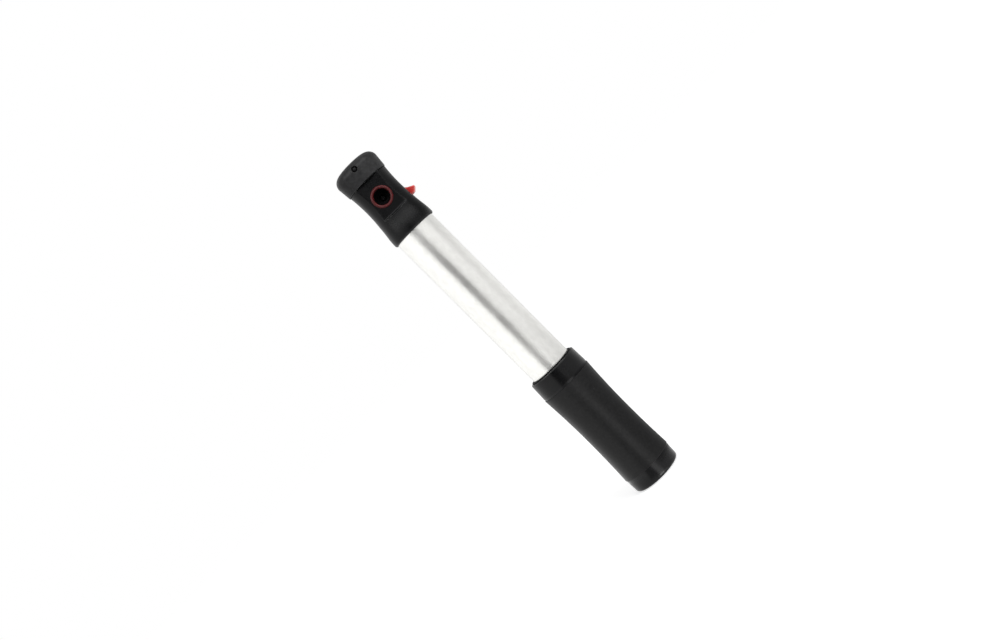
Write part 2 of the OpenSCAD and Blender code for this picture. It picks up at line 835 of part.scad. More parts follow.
head_housing();
top_cap();
cap_pin();
valve_collar();
valve_gasket();
gasket_plunger();
plunger_oring();
core_pin();
lock_lever();
lever_pin();
valve_plug();
plug_oring();
check_ball();
check_spring();
barrel_tube();
guide_bush();
piston_rod();
piston_head();
piston_cup();
piston_screw();
rod_bumper();
rod_screw();
rod_washer();
handle_tube();
rod_anchor();
grip_sleeve();
front_collar();
mouth_bush();
end_cap();
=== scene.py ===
# %% [markdown]
# # A mini hand pump, piece by piece
# This lesson dresses a ready-made model of a small hand pump. The model gives the bodies that
# move and the sizes of every piece. Here each piece that shows gets a finer surface and a finish.
# The pump stands on its handle, its axis is Z, and the valve port looks along -Y.

# %% Load the frame
import math

import bmesh
import bpy
import numpy as np
from mathutils import Matrix, Vector


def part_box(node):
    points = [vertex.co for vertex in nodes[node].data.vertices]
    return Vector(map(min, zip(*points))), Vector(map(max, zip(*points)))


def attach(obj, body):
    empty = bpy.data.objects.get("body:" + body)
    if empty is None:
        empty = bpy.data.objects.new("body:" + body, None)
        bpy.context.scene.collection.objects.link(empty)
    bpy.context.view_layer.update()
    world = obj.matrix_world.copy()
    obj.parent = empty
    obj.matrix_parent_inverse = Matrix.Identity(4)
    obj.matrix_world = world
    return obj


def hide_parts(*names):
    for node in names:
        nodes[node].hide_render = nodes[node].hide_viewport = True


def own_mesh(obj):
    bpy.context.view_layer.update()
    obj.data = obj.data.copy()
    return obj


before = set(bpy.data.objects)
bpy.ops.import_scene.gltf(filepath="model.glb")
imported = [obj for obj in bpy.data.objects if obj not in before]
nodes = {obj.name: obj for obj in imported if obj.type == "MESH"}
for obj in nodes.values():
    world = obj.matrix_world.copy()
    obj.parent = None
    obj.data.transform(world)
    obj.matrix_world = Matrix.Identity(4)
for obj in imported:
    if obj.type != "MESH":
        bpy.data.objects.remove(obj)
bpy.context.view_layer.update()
MM = 0.001

# %% [markdown]
# ## Sizes
# On the real pump the head, barrel and handle share one axis, so a handful of heights and radii
# place everything. They could be typed in again, but the frame already knows them, so each is
# read from the box of the node it belongs to. Only shapes that a box can't give, such as how deep
# the waist is, are written as numbers. All of them are in millimetres.


# %% Read the heights and radii
def span(node, axis):
    """Lowest and highest coordinate of a node along one axis (0, 1 or 2), in millimetres."""
    low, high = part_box(node)
    return low[axis] / MM, high[axis] / MM


HEAD_LOW = span("head_housing", 2)[0]
SEAM, CAP_TOP = span("top_cap", 2)
RIM_R = span("top_cap", 0)[1]
PORT_Z = sum(span("valve_collar", 2)) / 2
COLLAR_R = span("valve_collar", 0)[1]
COLLAR_OUT, COLLAR_IN = (-y for y in span("valve_collar", 1))
GASKET_R = span("valve_gasket", 0)[1]
GASKET_IN = -span("valve_gasket", 1)[1]
PIN_Z = sum(span("cap_pin", 2)) / 2
PIN_R = span("cap_pin", 0)[1]
PIVOT_Y = sum(span("lever_pin", 1)) / 2
LUG_LOW, LUG_HIGH = span("lever_pin", 2)
BARREL_LOW, BARREL_HIGH = span("barrel_tube", 2)
BARREL_R = span("barrel_tube", 0)[1]
BAND_LOW, BAND_HIGH = span("front_collar", 2)
BAND_R = span("front_collar", 0)[1]
LIP_LOW, LIP_HIGH = span("mouth_bush", 2)
LIP_R = span("mouth_bush", 0)[1]
CUP_HIGH = span("end_cap", 2)[1]
CUP_R = span("end_cap", 0)[1]
ROD_LOW, ROD_HIGH = span("piston_rod", 2)
ROD_R = span("piston_rod", 0)[1]
TIP_X = span("lock_lever", 0)[1]
ARM_OUT = span("lock_lever", 1)[1]

WAIST_R = RIM_R - 1.65
NECK_R = RIM_R - 1.05
WAIST_Z = SEAM - 10.3
SHOULDER_Z = SEAM - 20.8
BAND_Z = HEAD_LOW + 1.6
FACE = WAIST_R - 2.1
FACE_Z = SEAM - 20.4
LEDGE_SLOPE = math.tan(math.radians(12))
RIM_ROUND = 1.0
SEAM_ROUND = 0.55
FACE_BLEND = 0.4
LEDGE_BLEND = 0.3
LUG_R = 2.9
LUG_ROUND = 0.7
SLOT_HALF, SLOT_REACH = 4.6, 5.06
SLOT_LEFT, SLOT_RIGHT = -SLOT_REACH, 3.35
FIXED_GAP, SLIDING_GAP = 0.05, 0.08
SLEEVE_R = LIP_R + FIXED_GAP
GRIP_WAIST_R = SLEEVE_R + 0.95
GRIP_WAIST_Z = 36.0
SWELL_HIGH, SWELL_LOW = 1.05, 0.7
print(f"head {HEAD_LOW:.1f} to {CAP_TOP:.1f}, barrel radius {BARREL_R:.2f}, port at {PORT_Z:.1f}")

# %% [markdown]
# ## From numbers to meshes
# A moulded or turned piece is a smooth surface, and a smooth surface is a function of two
# parameters. Points on a grid of those parameters are one numpy array, and the quads between
# neighbours are another. Writing both arrays straight into the mesh is fast, and any formula can
# be used. Where two patches meet, their points coincide and are merged.


# %% Grid and mesh helpers
MERGE_DISTANCE = 2e-6
CREASE = math.radians(40)
BEND_START, BEND_RANGE = 0.25, 0.9


def grid_faces(rows, cols, wrap_cols=False):
    """Quads of a grid: each joins a point, the next one in its row and the two above them."""
    i = np.arange(rows - 1)[:, None]
    j = np.arange(cols if wrap_cols else cols - 1)[None, :]
    k = (j + 1) % cols
    quads = [i * cols + j, i * cols + k, (i + 1) * cols + k, (i + 1) * cols + j]
    return np.stack(np.broadcast_arrays(*quads), axis=-1)


def convexity(mesh):
    """Mean bend at each point in 1/mm: twice the step along the normal over the edge squared."""
    co = np.empty(len(mesh.vertices) * 3)
    mesh.vertices.foreach_get("co", co)
    co = co.reshape(-1, 3) / MM
    normal = np.empty(len(mesh.vertices) * 3)
    mesh.vertex_normals.foreach_get("vector", normal)
    normal = normal.reshape(-1, 3)
    ends = np.empty(len(mesh.edges) * 2, dtype=np.int64)
    mesh.edges.foreach_get("vertices", ends)
    a, b = ends.reshape(-1, 2).T
    step = co[a] - co[b]
    length = np.maximum((step ** 2).sum(1), 1e-6)
    total = np.zeros(len(co))
    count = np.zeros(len(co))
    np.add.at(total, a, 2 * (normal[a] * step).sum(1) / length)
    np.add.at(total, b, -2 * (normal[b] * step).sum(1) / length)
    np.add.at(count, a, 1)
    np.add.at(count, b, 1)
    return total / np.maximum(count, 1)


def build_mesh(name, patches, edge_of=None):
    """One mesh from patches of (points in mm, quads); doubles are merged, creases stay sharp."""
    starts = np.cumsum([0] + [p.size // 3 for p, q in patches])
    points = np.concatenate([p.reshape(-1, 3) for p, q in patches]) * MM
    quads = np.concatenate([q.reshape(-1, 4) + s for (p, q), s in zip(patches, starts)])
    mesh = bpy.data.meshes.new(name)
    mesh.vertices.add(len(points))
    mesh.vertices.foreach_set("co", points.ravel())
    mesh.loops.add(quads.size)
    mesh.loops.foreach_set("vertex_index", quads.ravel().astype(np.int32))
    mesh.polygons.add(len(quads))
    mesh.polygons.foreach_set("loop_start", np.arange(0, quads.size, 4, dtype=np.int32))
    mesh.update(calc_edges=True)
    bm = bmesh.new()
    bm.from_mesh(mesh)
    bmesh.ops.remove_doubles(bm, verts=bm.verts, dist=MERGE_DISTANCE)
    bmesh.ops.dissolve_degenerate(bm, edges=bm.edges, dist=1e-7)
    bm.to_mesh(mesh)
    bm.free()
    mesh.shade_smooth()
    mesh.set_sharp_from_angle(angle=CREASE)
    co = np.empty(len(mesh.vertices) * 3)
    mesh.vertices.foreach_get("co", co)
    bend = np.clip((convexity(mesh) - BEND_START) / BEND_RANGE, 0, 1)
    bend = edge_of(co.reshape(-1, 3) / MM, bend) if edge_of else bend
    mesh.attributes.new("edge", "FLOAT", "POINT").data.foreach_set("value", bend.astype(np.float32))
    return mesh


def add_piece(name, patches, body, material, stands_for, edge_of=None):
    """Links the mesh, hangs it on its body's empty and hides the nodes it stands for."""
    mesh = build_mesh(name, patches, edge_of)
    mesh.materials.append(material)
    piece = bpy.data.objects.new(name, mesh)
    bpy.context.scene.collection.objects.link(piece)
    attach(piece, body)
    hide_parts(*stands_for)
    print(f"{name}: {len(mesh.polygons)} faces, rides on {body}")
    return piece


# %% [markdown]
# ## Turned profiles
# Barrel, bands, grip and cap are all bodies of revolution, as they come off a lathe or out of a
# round mould. No real edge is perfectly sharp: a small radius catches a thin line of light. So an
# outline is given as corners with a radius each, the corners become arcs, long straight runs get
# points in between, and the outline is carried round the axis.


# %% Outline and lathe helpers
def rounded(corners, steps):
    """Open outline of (r, z, radius) corners. An arc touches both sides at radius / tan(half angle)."""
    data = np.asarray(corners, dtype=float)
    at, radius = data[:, :2], data[:, 2:3]
    back = np.vstack([at[:1], at[:-1]]) - at
    ahead = np.vstack([at[1:], at[-1:]]) - at
    u = back / np.maximum(np.linalg.norm(back, axis=1, keepdims=True), 1e-9)
    v = ahead / np.maximum(np.linalg.norm(ahead, axis=1, keepdims=True), 1e-9)
    open_angle = np.arccos(np.clip((u * v).sum(1, keepdims=True), -1, 1))
    plain = (radius < 1e-6) | (open_angle < 1e-3) | (open_angle > math.pi - 1e-3)
    half = np.where(plain, math.pi / 4, open_angle / 2)
    turn = math.pi - 2 * half
    bisector = (u + v) / np.maximum(np.linalg.norm(u + v, axis=1, keepdims=True), 1e-9)
    centre = at + bisector * radius / np.sin(half)
    start = at + u * radius / np.tan(half) - centre
    end = at + v * radius / np.tan(half) - centre
    t = np.linspace(0, 1, steps + 1)[None, :, None]
    weight_a = np.sin((1 - t) * turn[:, None]) / np.sin(turn[:, None])
    weight_b = np.sin(t * turn[:, None]) / np.sin(turn[:, None])
    arcs = centre[:, None] + weight_a * start[:, None] + weight_b * end[:, None]
    arcs = np.where(plain[:, None], at[:, None], arcs)
    return arcs.reshape(-1, 2)


def resampled(outline, step):
    """The same outline with extra points, so that no run between points is longer than step."""
    length = np.concatenate([[0], np.cumsum(np.linalg.norm(np.diff(outline, axis=0), axis=1))])
    keep = np.concatenate([[True], np.diff(length) > 1e-6])
    outline, length = outline[keep], length[keep]
    extra = np.arange(0, length[-1], step)
    far = np.abs(extra[:, None] - length[None, :]).min(1) > 0.25 * step
    at = np.sort(np.concatenate([length, extra[far]]))
    return np.stack([np.interp(at, length, outline[:, 0]), np.interp(at, length, outline[:, 1])], -1)


def lathe(outline, turns):
    """Carries each outline point (r, z) round the axis: x = r cos a, y = r sin a."""
    a = np.linspace(0, 2 * np.pi, turns, endpoint=False)
    r, z = outline[:, :1], outline[:, 1:]
    points = np.stack(np.broadcast_arrays(r * np.cos(a), r * np.sin(a), z + 0 * a), axis=-1)
    return points, grid_faces(len(outline), turns, wrap_cols=True)


def turned_out_of_port(patch):
    """Turns a patch that was made along Z to stand on the port's axis: z becomes -y."""
    points, quads = patch
    x, y, z = np.moveaxis(points, -1, 0)
    return np.stack([x, -z, PORT_Z + y], axis=-1), quads


# %% [markdown]
# ## Effects that several finishes share
# Moulded plastic, rubber and anodised metal look different, but all show the same few things: a
# fine grain, patches that hands have rubbed smoother, and edges that have lost some of their
# surface, which on some pieces also carry a painted highlight. Each is built once as a node group
# and placed in every finish with its own values. All patterns read object coordinates, which are
# metres, so a scale of 4000 is a grain of 0.25 mm.


# %% Node groups
NOISE_ROUGHNESS = 0.55


def new_group(name, inputs, outputs):
    """Empty shader group with float or vector inputs (name, kind, default) and named outputs."""
    tree = bpy.data.node_groups.new(name, "ShaderNodeTree")
    for title, kind, value in inputs:
        socket = tree.interface.new_socket(title, in_out="INPUT", socket_type="NodeSocket" + kind)
        if value is not None:
            socket.default_value = value
    for title in outputs:
        tree.interface.new_socket(title, in_out="OUTPUT", socket_type="NodeSocketFloat")
    return tree, tree.nodes.new("NodeGroupInput"), tree.nodes.new("NodeGroupOutput")


def math_node(tree, operation, *values):
    """Math node whose inputs are numbers or the sockets that feed them."""
    node = tree.nodes.new("ShaderNodeMath")
    node.operation = operation
    for socket, value in zip(node.inputs, values):
        if isinstance(value, (int, float)):
            socket.default_value = value
        else:
            tree.links.new(value, socket)
    return node.outputs[0]


def noise_node(tree, vector, scale, detail):
    """Noise texture on a vector; scale is a number or the socket that feeds it."""
    node = tree.nodes.new("ShaderNodeTexNoise")
    node.inputs["Detail"].default_value = detail
    node.inputs["Roughness"].default_value = NOISE_ROUGHNESS
    tree.links.new(vector, node.inputs["Vector"])
    if isinstance(scale, (int, float)):
        node.inputs["Scale"].default_value = scale
    else:
        tree.links.new(scale, node.inputs["Scale"])
    return node.outputs["Fac"]


def spread_node(tree, value, low, high):
    """Map Range that stretches low..high to 0..1 with smooth ends."""
    node = tree.nodes.new("ShaderNodeMapRange")
    node.interpolation_type = "SMOOTHSTEP"
    tree.links.new(value, node.inputs["Value"])
    node.inputs["From Min"].default_value = low
    node.inputs["From Max"].default_value = high
    return node.outputs["Result"]


def make_grain():
    """Height and mottle of a moulded or blasted skin: a fine noise, and a coarser one on top."""
    tree, box_in, box_out = new_group(
        "surface_grain", [("Vector", "Vector", None), ("Scale", "Float", 4000.0)], ["Height", "Mottle"])
    fine = noise_node(tree, box_in.outputs["Vector"], box_in.outputs["Scale"], 2.0)
    coarse_scale = math_node(tree, "MULTIPLY", box_in.outputs["Scale"], 0.21)
    coarse = noise_node(tree, box_in.outputs["Vector"], coarse_scale, 3.0)
    height = math_node(tree, "MULTIPLY_ADD", coarse, 0.35, fine)
    tree.links.new(height, box_out.inputs["Height"])
    tree.links.new(spread_node(tree, coarse, 0.32, 0.68), box_out.inputs["Mottle"])
    return tree


def make_smudges():
    """Rubbed and dull patches: a slow noise broken up by a quicker one, from Low to High."""
    tree, box_in, box_out = new_group(
        "handling_smudges", [("Vector", "Vector", None), ("Low", "Float", 0.4), ("High", "Float", 0.5)],
        ["Roughness", "Mask"])
    slow = noise_node(tree, box_in.outputs["Vector"], 55.0, 2.0)
    quick = noise_node(tree, box_in.outputs["Vector"], 420.0, 3.0)
    mask = spread_node(tree, math_node(tree, "MULTIPLY_ADD", quick, 0.35, slow), 0.45, 0.92)
    reach = math_node(tree, "SUBTRACT", box_in.outputs["High"], box_in.outputs["Low"])
    rough = math_node(tree, "MULTIPLY_ADD", mask, reach, box_in.outputs["Low"])
    tree.links.new(rough, box_out.inputs["Roughness"])
    tree.links.new(mask, box_out.inputs["Mask"])
    return tree


def make_edge_wear_and_highlight():
    """Paler edges from the piece's own edge value: lost surface, and on some pieces a painted highlight.
    Breakup is how far a patchy noise may hide it.
    """
    tree, box_in, box_out = new_group(
        "edge_wear_and_painted_highlight", [("Vector", "Vector", None), ("Amount", "Float", 0.5), ("Breakup", "Float", 1.0)],
        ["Mask"])
    edge = tree.nodes.new("ShaderNodeAttribute")
    edge.attribute_name = "edge"
    patchy = spread_node(tree, noise_node(tree, box_in.outputs["Vector"], 900.0, 4.0), 0.38, 0.72)
    hidden = math_node(tree, "MULTIPLY", math_node(tree, "SUBTRACT", 1.0, patchy), box_in.outputs["Breakup"])
    wear_and_highlight = math_node(tree, "MULTIPLY", edge.outputs["Fac"], math_node(tree, "SUBTRACT", 1.0, hidden))
    tree.links.new(math_node(tree, "MULTIPLY", wear_and_highlight, box_in.outputs["Amount"]), box_out.inputs["Mask"])
    return tree


GRAIN, SMUDGES, EDGE_WEAR_AND_HIGHLIGHT = make_grain(), make_smudges(), make_edge_wear_and_highlight()
print("groups:", [g.name for g in (GRAIN, SMUDGES, EDGE_WEAR_AND_HIGHLIGHT)])

# %% [markdown]
# ## The finishes
# A finish is one recipe with different amounts. Base colour drifts a little between two shades,
# roughness comes from the smudges, the grain bends the normal, and the edges show a third colour:
# paler where they have lost some of their surface, and on some pieces a painted highlight along
# chosen edges. Painting image textures would tie the look to one unwrapping; a recipe of nodes fits
# every piece, and one table of values is easy to tune against the photograph.


# %% The recipe
def place_group(tree, group, vector, **values):
    """Puts a group into a material and sets its inputs."""
    node = tree.nodes.new("ShaderNodeGroup")
    node.node_tree = group
    tree.links.new(vector, node.inputs["Vector"])
    for name, value in values.items():
        node.inputs[name].default_value = value
    return node


def mix_colour(tree, factor, first, second):
    """Colour mix; each side is a colour or the socket that feeds it."""
    node = tree.nodes.new("ShaderNodeMix")
    node.data_type = "RGBA"
    tree.links.new(factor, node.inputs["Factor"])
    for socket, value in ((node.inputs[6], first), (node.inputs[7], second)):
        if isinstance(value, tuple):
            socket.default_value = (*value, 1.0)
        else:
            tree.links.new(value, socket)
    return node.outputs[2]


def finish(name, shade, light, rough, grain, depth, stretch=(1, 1, 1), metal=0.0, gloss=0.5,
           wear_and_highlight=None, wear_and_highlight_amount=0.5, breakup=1.0):
    """Material: shade and light are the two colours, rough the range, depth the grain in mm."""
    material = bpy.data.materials.new(name)
    material.use_nodes = True
    tree = material.node_tree
    shader = tree.nodes["Principled BSDF"]
    shader.inputs["Metallic"].default_value = metal
    shader.inputs["Specular IOR Level"].default_value = gloss
    place = tree.nodes.new("ShaderNodeTexCoord").outputs["Object"]
    drawn = tree.nodes.new("ShaderNodeMapping")
    drawn.inputs["Scale"].default_value = stretch
    tree.links.new(place, drawn.inputs["Vector"])
    skin = place_group(tree, GRAIN, drawn.outputs["Vector"], Scale=grain)
    rub = place_group(tree, SMUDGES, place, Low=rough[0], High=rough[1])
    edge = place_group(tree, EDGE_WEAR_AND_HIGHLIGHT, place, Amount=wear_and_highlight_amount, Breakup=breakup)
    colour = mix_colour(tree, skin.outputs["Mottle"], shade, light)
    colour = mix_colour(tree, edge.outputs["Mask"], colour, wear_and_highlight or light)
    tree.links.new(colour, shader.inputs["Base Color"])
    tree.links.new(rub.outputs["Roughness"], shader.inputs["Roughness"])
    bump = tree.nodes.new("ShaderNodeBump")
    bump.inputs["Strength"].default_value = 1.0
    bump.inputs["Distance"].default_value = depth * MM
    tree.links.new(skin.outputs["Height"], bump.inputs["Height"])
    tree.links.new(bump.outputs["Normal"], shader.inputs["Normal"])
    return material


# The head's paler edge colour marks its bent edges, and is a painted highlight along the ledge and round the
# rim.
HEAD_PLASTIC = finish("head_moulding", (0.0022, 0.0023, 0.0026), (0.0034, 0.0035, 0.0039), (0.26, 0.34),
                      3200.0, 0.010, gloss=0.145, wear_and_highlight=(0.035, 0.035, 0.036), wear_and_highlight_amount=0.9, breakup=0.6)
# The cap's paler edge colour is partly lost surface and partly a painted highlight along its edges.
CAP_PLASTIC = finish("cap_moulding", (0.024, 0.024, 0.0246), (0.033, 0.033, 0.0338), (0.27, 0.35),
                     2800.0, 0.010, gloss=0.08, wear_and_highlight=(0.048, 0.048, 0.049), wear_and_highlight_amount=0.4)
GRIP_RUBBER = finish("grip_rubber", (0.008, 0.008, 0.0082), (0.0112, 0.0112, 0.0114), (0.34, 0.42),
                     3600.0, 0.010, gloss=0.16, wear_and_highlight=(0.024, 0.024, 0.024), wear_and_highlight_amount=0.3, breakup=0.5)
# Gloss black's paler edge colour shows at the cup's foot, and along the band's mouth, where it is a painted
# highlight.
GLOSS_BLACK = finish("gloss_black", (0.0022, 0.0023, 0.0027), (0.0034, 0.0035, 0.0039), (0.22, 0.28),
                     1500.0, 0.002, gloss=0.22, wear_and_highlight=(0.07, 0.07, 0.07), wear_and_highlight_amount=0.9, breakup=0.7)
SOFT_BLACK = finish("seal_rubber", (0.002, 0.002, 0.002), (0.004, 0.004, 0.004), (0.5, 0.62), 3000.0, 0.02,
                    gloss=0.12)
# The ring's paler edge colour is a painted highlight along its crest.
RED_METAL = finish("red_anodised_ring", (0.07, 0.003, 0.005), (0.09, 0.005, 0.007), (0.30, 0.38), 2600.0,
                   0.003, gloss=0.2, wear_and_highlight=(0.068, 0.014, 0.013), wear_and_highlight_amount=0.95, breakup=0.3)
# The lever's pink-white edge colour is a painted highlight along the tip's lower edge, and a little of it
# marks the bends.
RED_PLASTIC = finish("red_lever", (0.66, 0.045, 0.04), (0.76, 0.062, 0.054), (0.28, 0.36), 2200.0, 0.002,
                     gloss=0.5, wear_and_highlight=(0.92, 0.5, 0.46), wear_and_highlight_amount=0.9, breakup=0.4)
BARREL_SATIN = finish("barrel_satin", (0.83, 0.826, 0.797), (0.89, 0.886, 0.857), (0.30, 0.35), 2200.0, 0.008,
                      (1, 1, 0.6), 1.0, wear_and_highlight=(0.93, 0.93, 0.92))
ROD_DRAWN = finish("rod_drawn", (0.70, 0.70, 0.70), (0.80, 0.80, 0.80), (0.18, 0.28), 5200.0, 0.003,
                   (1, 1, 0.03), 1.0)
STEEL = finish("plain_steel", (0.50, 0.50, 0.51), (0.60, 0.60, 0.61), (0.25, 0.38), 2600.0, 0.004,
               (1, 1, 0.1), 1.0)
# Near black for the pins: the cap's pin is blackened, and on the core pin deep inside the port this black is
# painted shade.
DARK_PIN_AND_SHADE = finish("blackened_pin_and_painted_shade", (0.004, 0.004, 0.0045), (0.007, 0.007, 0.0075), (0.4, 0.5), 2600.0, 0.004,
                  gloss=0.12)
DARK_PLASTIC = finish("matt_moulding", (0.0016, 0.0016, 0.0018), (0.003, 0.003, 0.0032), (0.5, 0.6), 3000.0,
                      0.01, gloss=0.08)
BUSH_PLASTIC = finish("bush_moulding", (0.016, 0.016, 0.017), (0.024, 0.024, 0.025), (0.4, 0.52), 3000.0,
                      0.012, gloss=0.35)
BLACK_TUBE = finish("black_anodised", (0.012, 0.012, 0.013), (0.02, 0.02, 0.021), (0.3, 0.4), 2600.0, 0.004,
                    (1, 1, 0.25), 0.7)
PALE_PLASTIC = finish("piston_moulding", (0.62, 0.60, 0.55), (0.72, 0.70, 0.65), (0.38, 0.5), 2600.0, 0.01)
PLUG_METAL = finish("turned_aluminium", (0.60, 0.60, 0.58), (0.68, 0.68, 0.66), (0.28, 0.38), 3000.0, 0.005,
                    (1, 1, 6), 1.0)

# %% [markdown]
# ## The camera
# The photograph looks at the port from a little over half a metre away, and the pump lies across
# the picture at 45 degrees. Laying the pump down would put it out of its own frame, so the camera
# is rolled instead. It stands level with the upper barrel and is aimed a little lower: the curves
# of the rims, which open up or down with their height, give that away. Its three axes are worked
# out from the aim and the roll, and become its matrix.

# %% Camera
VIEW_DISTANCE = 0.55
PICTURE_WIDTH = 0.500
SENSOR = 36.0
CAMERA_X, CAMERA_Z, AIM_Z = -0.00175, 0.1335, 0.1108
ROLL = math.radians(44.98)
camera_data = bpy.data.cameras.new("photo_camera")
camera_data.sensor_width = SENSOR
camera_data.sensor_fit = "HORIZONTAL"
camera_data.lens = SENSOR * VIEW_DISTANCE / PICTURE_WIDTH
camera_data.clip_start = 0.05
camera = bpy.data.objects.new("photo_camera", camera_data)
bpy.context.scene.collection.objects.link(camera)
stand, aim = Vector((CAMERA_X, -VIEW_DISTANCE, CAMERA_Z)), Vector((CAMERA_X, 0.0, AIM_Z))
back = (stand - aim).normalized()
level = Vector((0, 0, 1)).cross(back).normalized()
upright = back.cross(level)
right = level * math.cos(ROLL) - upright * math.sin(ROLL)
top = back.cross(right)
camera.matrix_world = Matrix([[*row] for row in zip(right, top, back, stand)] + [[0, 0, 0, 1]])
bpy.context.scene.camera = camera
print("lens", round(camera_data.lens, 1))

# %% [markdown]
# ## The barrel
# The barrel is a drawn aluminium tube with a satin anodised skin. A cylinder would have razor
# ends; the turned outline gives it a wall and small chamfers, which show when the pump is pulled
# out and the lower end comes free of the handle.

# %% Barrel and rod
BARREL_WALL, ROD_WALL = 1.2, 1.45
barrel_in, rod_in = BARREL_R - BARREL_WALL, ROD_R - ROD_WALL
barrel_outline = rounded([
    (barrel_in, BARREL_LOW, 0.2), (BARREL_R, BARREL_LOW, 0.3), (BARREL_R, BARREL_HIGH, 0.3),
    (barrel_in, BARREL_HIGH, 0.2), (barrel_in, BARREL_LOW, 0.2)], 4)
add_piece("barrel", [lathe(resampled(barrel_outline, 3.0), 224)], "pump_body",
          BARREL_SATIN, ["barrel_tube"])
rod_outline = rounded([
    (rod_in, ROD_LOW, 0), (ROD_R, ROD_LOW, 0.4), (ROD_R, ROD_HIGH, 0.4), (rod_in, ROD_HIGH, 0),
    (rod_in, ROD_LOW, 0)], 4)
add_piece("drawn_rod", [lathe(resampled(rod_outline, 3.0), 96)], "rod", ROD_DRAWN,
          ["piston_rod"])

# %% [markdown]
# ## The head
# The head is one black moulding: a round body with a waist, a flat in front for the valve port, a
# skirt over the barrel, and two lugs behind that carry the lever's pin. Cutting solids from each
# other would leave knife edges. Seen from the axis, though, every direction meets the outside just
# once, so the whole skin is a radius that depends on angle and height. The flat is then a smooth
# minimum of two radii and a lug a maximum, and the smoothing is the mould's own small radius.


# %% Head radius
def head_radius(z):
    """Waist: a parabola about its narrowest height. Skirt: an S curve out to the rim below it."""
    waist = WAIST_R + (NECK_R - WAIST_R) * ((z - WAIST_Z) / (SEAM - WAIST_Z)) ** 2
    top = WAIST_R + (NECK_R - WAIST_R) * ((SHOULDER_Z - WAIST_Z) / (SEAM - WAIST_Z)) ** 2
    t = np.clip((SHOULDER_Z - z) / (SHOULDER_Z - BAND_Z), 0, 1)
    skirt = top + (RIM_R - top) * (t * t * (3 - 2 * t) + t * (1 - t) ** 2 / 2)
    low = np.clip((HEAD_LOW + RIM_ROUND - z) / RIM_ROUND, 0, 1)
    high = np.clip((z - SEAM + SEAM_ROUND) / SEAM_ROUND, 0, 1)
    round_low = RIM_ROUND * (1 - np.sqrt(1 - low ** 2))
    round_high = SEAM_ROUND * (1 - np.sqrt(1 - high ** 2))
    return np.where(z < SHOULDER_Z, skirt, waist) - round_low - round_high


def smooth_min(a, b, width):
    """Smaller of two values, rounded where they differ by less than width."""
    h = np.clip(0.5 + 0.5 * (b - a) / width, 0, 1)
    return b * (1 - h) + a * h - width * h * (1 - h)


def skin_radius(angle, z):
    """Head radius, limited by the port's flat and its ledge, and raised by the lugs behind."""
    below = (FACE_Z - z) / LEDGE_SLOPE
    depth = FACE + 0.5 * (below + np.sqrt(below ** 2 + LEDGE_BLEND))
    flat = depth / np.maximum(-np.sin(angle), 0.05)
    radius = smooth_min(head_radius(z), flat, FACE_BLEND)
    inside = np.maximum(LUG_R ** 2 - (PIVOT_Y * np.cos(angle)) ** 2, 0)
    lug = np.where(np.sin(angle) > 0, PIVOT_Y * np.sin(angle) + np.sqrt(inside), 0)
    from_end = np.minimum(z - LUG_LOW, LUG_HIGH - z) / LUG_ROUND
    rise = np.sqrt(1 - (1 - np.clip(from_end, 0, 1)) ** 2)
    return radius + np.maximum(lug - radius, 0) * rise


# %% [markdown]
# The columns of the grid lean a little so that two of them run exactly along the sides of the
# lever's slot. Faces inside the slot and inside the port are left out. The slot's own walls are
# five more patches that start from the skin's edge; the port's edge hides under the red ring.

# %% Head skin
RING_OVERLAP = 0.45
rim_rows = HEAD_LOW + RIM_ROUND * (1 - np.cos(np.linspace(0, np.pi / 2, 8, endpoint=False)))
rows_z = np.concatenate([rim_rows, np.linspace(HEAD_LOW + RIM_ROUND, SEAM, 160)])
slot_row = np.searchsorted(rows_z, [PORT_Z - SLOT_HALF, PORT_Z + SLOT_HALF])
rows_z[slot_row] = PORT_Z - SLOT_HALF, PORT_Z + SLOT_HALF
slot_cols = 34
edge_r = head_radius(np.clip(rows_z, PORT_Z - SLOT_HALF, PORT_Z + SLOT_HALF))[:, None]
right_edge = np.arcsin(-SLOT_RIGHT / edge_r) + np.pi / 2
left_edge = np.arcsin(-SLOT_LEFT / edge_r) + np.pi / 2
behind = right_edge + (left_edge - right_edge) * np.linspace(0, 1, slot_cols, endpoint=False)
around = left_edge + (right_edge + 2 * np.pi - left_edge) * np.linspace(0, 1, 262, endpoint=False)
angle = np.concatenate([behind, around], axis=1)
height = np.broadcast_to(rows_z[:, None], angle.shape)
radius = skin_radius(angle, height)
skin = np.stack([radius * np.cos(angle), radius * np.sin(angle), height], axis=-1)
quads = grid_faces(*angle.shape, wrap_cols=True)
centre = skin.reshape(-1, 3)[quads].mean(axis=2)
in_slot = np.zeros(quads.shape[:2], dtype=bool)
in_slot[slot_row[0]:slot_row[1], :slot_cols] = True
from_port = np.hypot(centre[..., 0], centre[..., 2] - PORT_Z)
in_port = (from_port < COLLAR_R - RING_OVERLAP) & (centre[..., 1] < 0)
head_patches = [(skin, quads[~(in_slot | in_port)])]

# %% Slot walls, rim and top
slot_floor = PIVOT_Y - SLOT_REACH
inward = np.linspace(0, 1, 7)[:, None]


def wall_from(edge_points):
    """Wall from a row of edge points straight in along -Y to the floor of the slot."""
    points = np.repeat(edge_points[None], len(inward), axis=0)
    points[..., 1] += (slot_floor - edge_points[:, 1]) * inward
    return points, grid_faces(len(inward), len(edge_points))


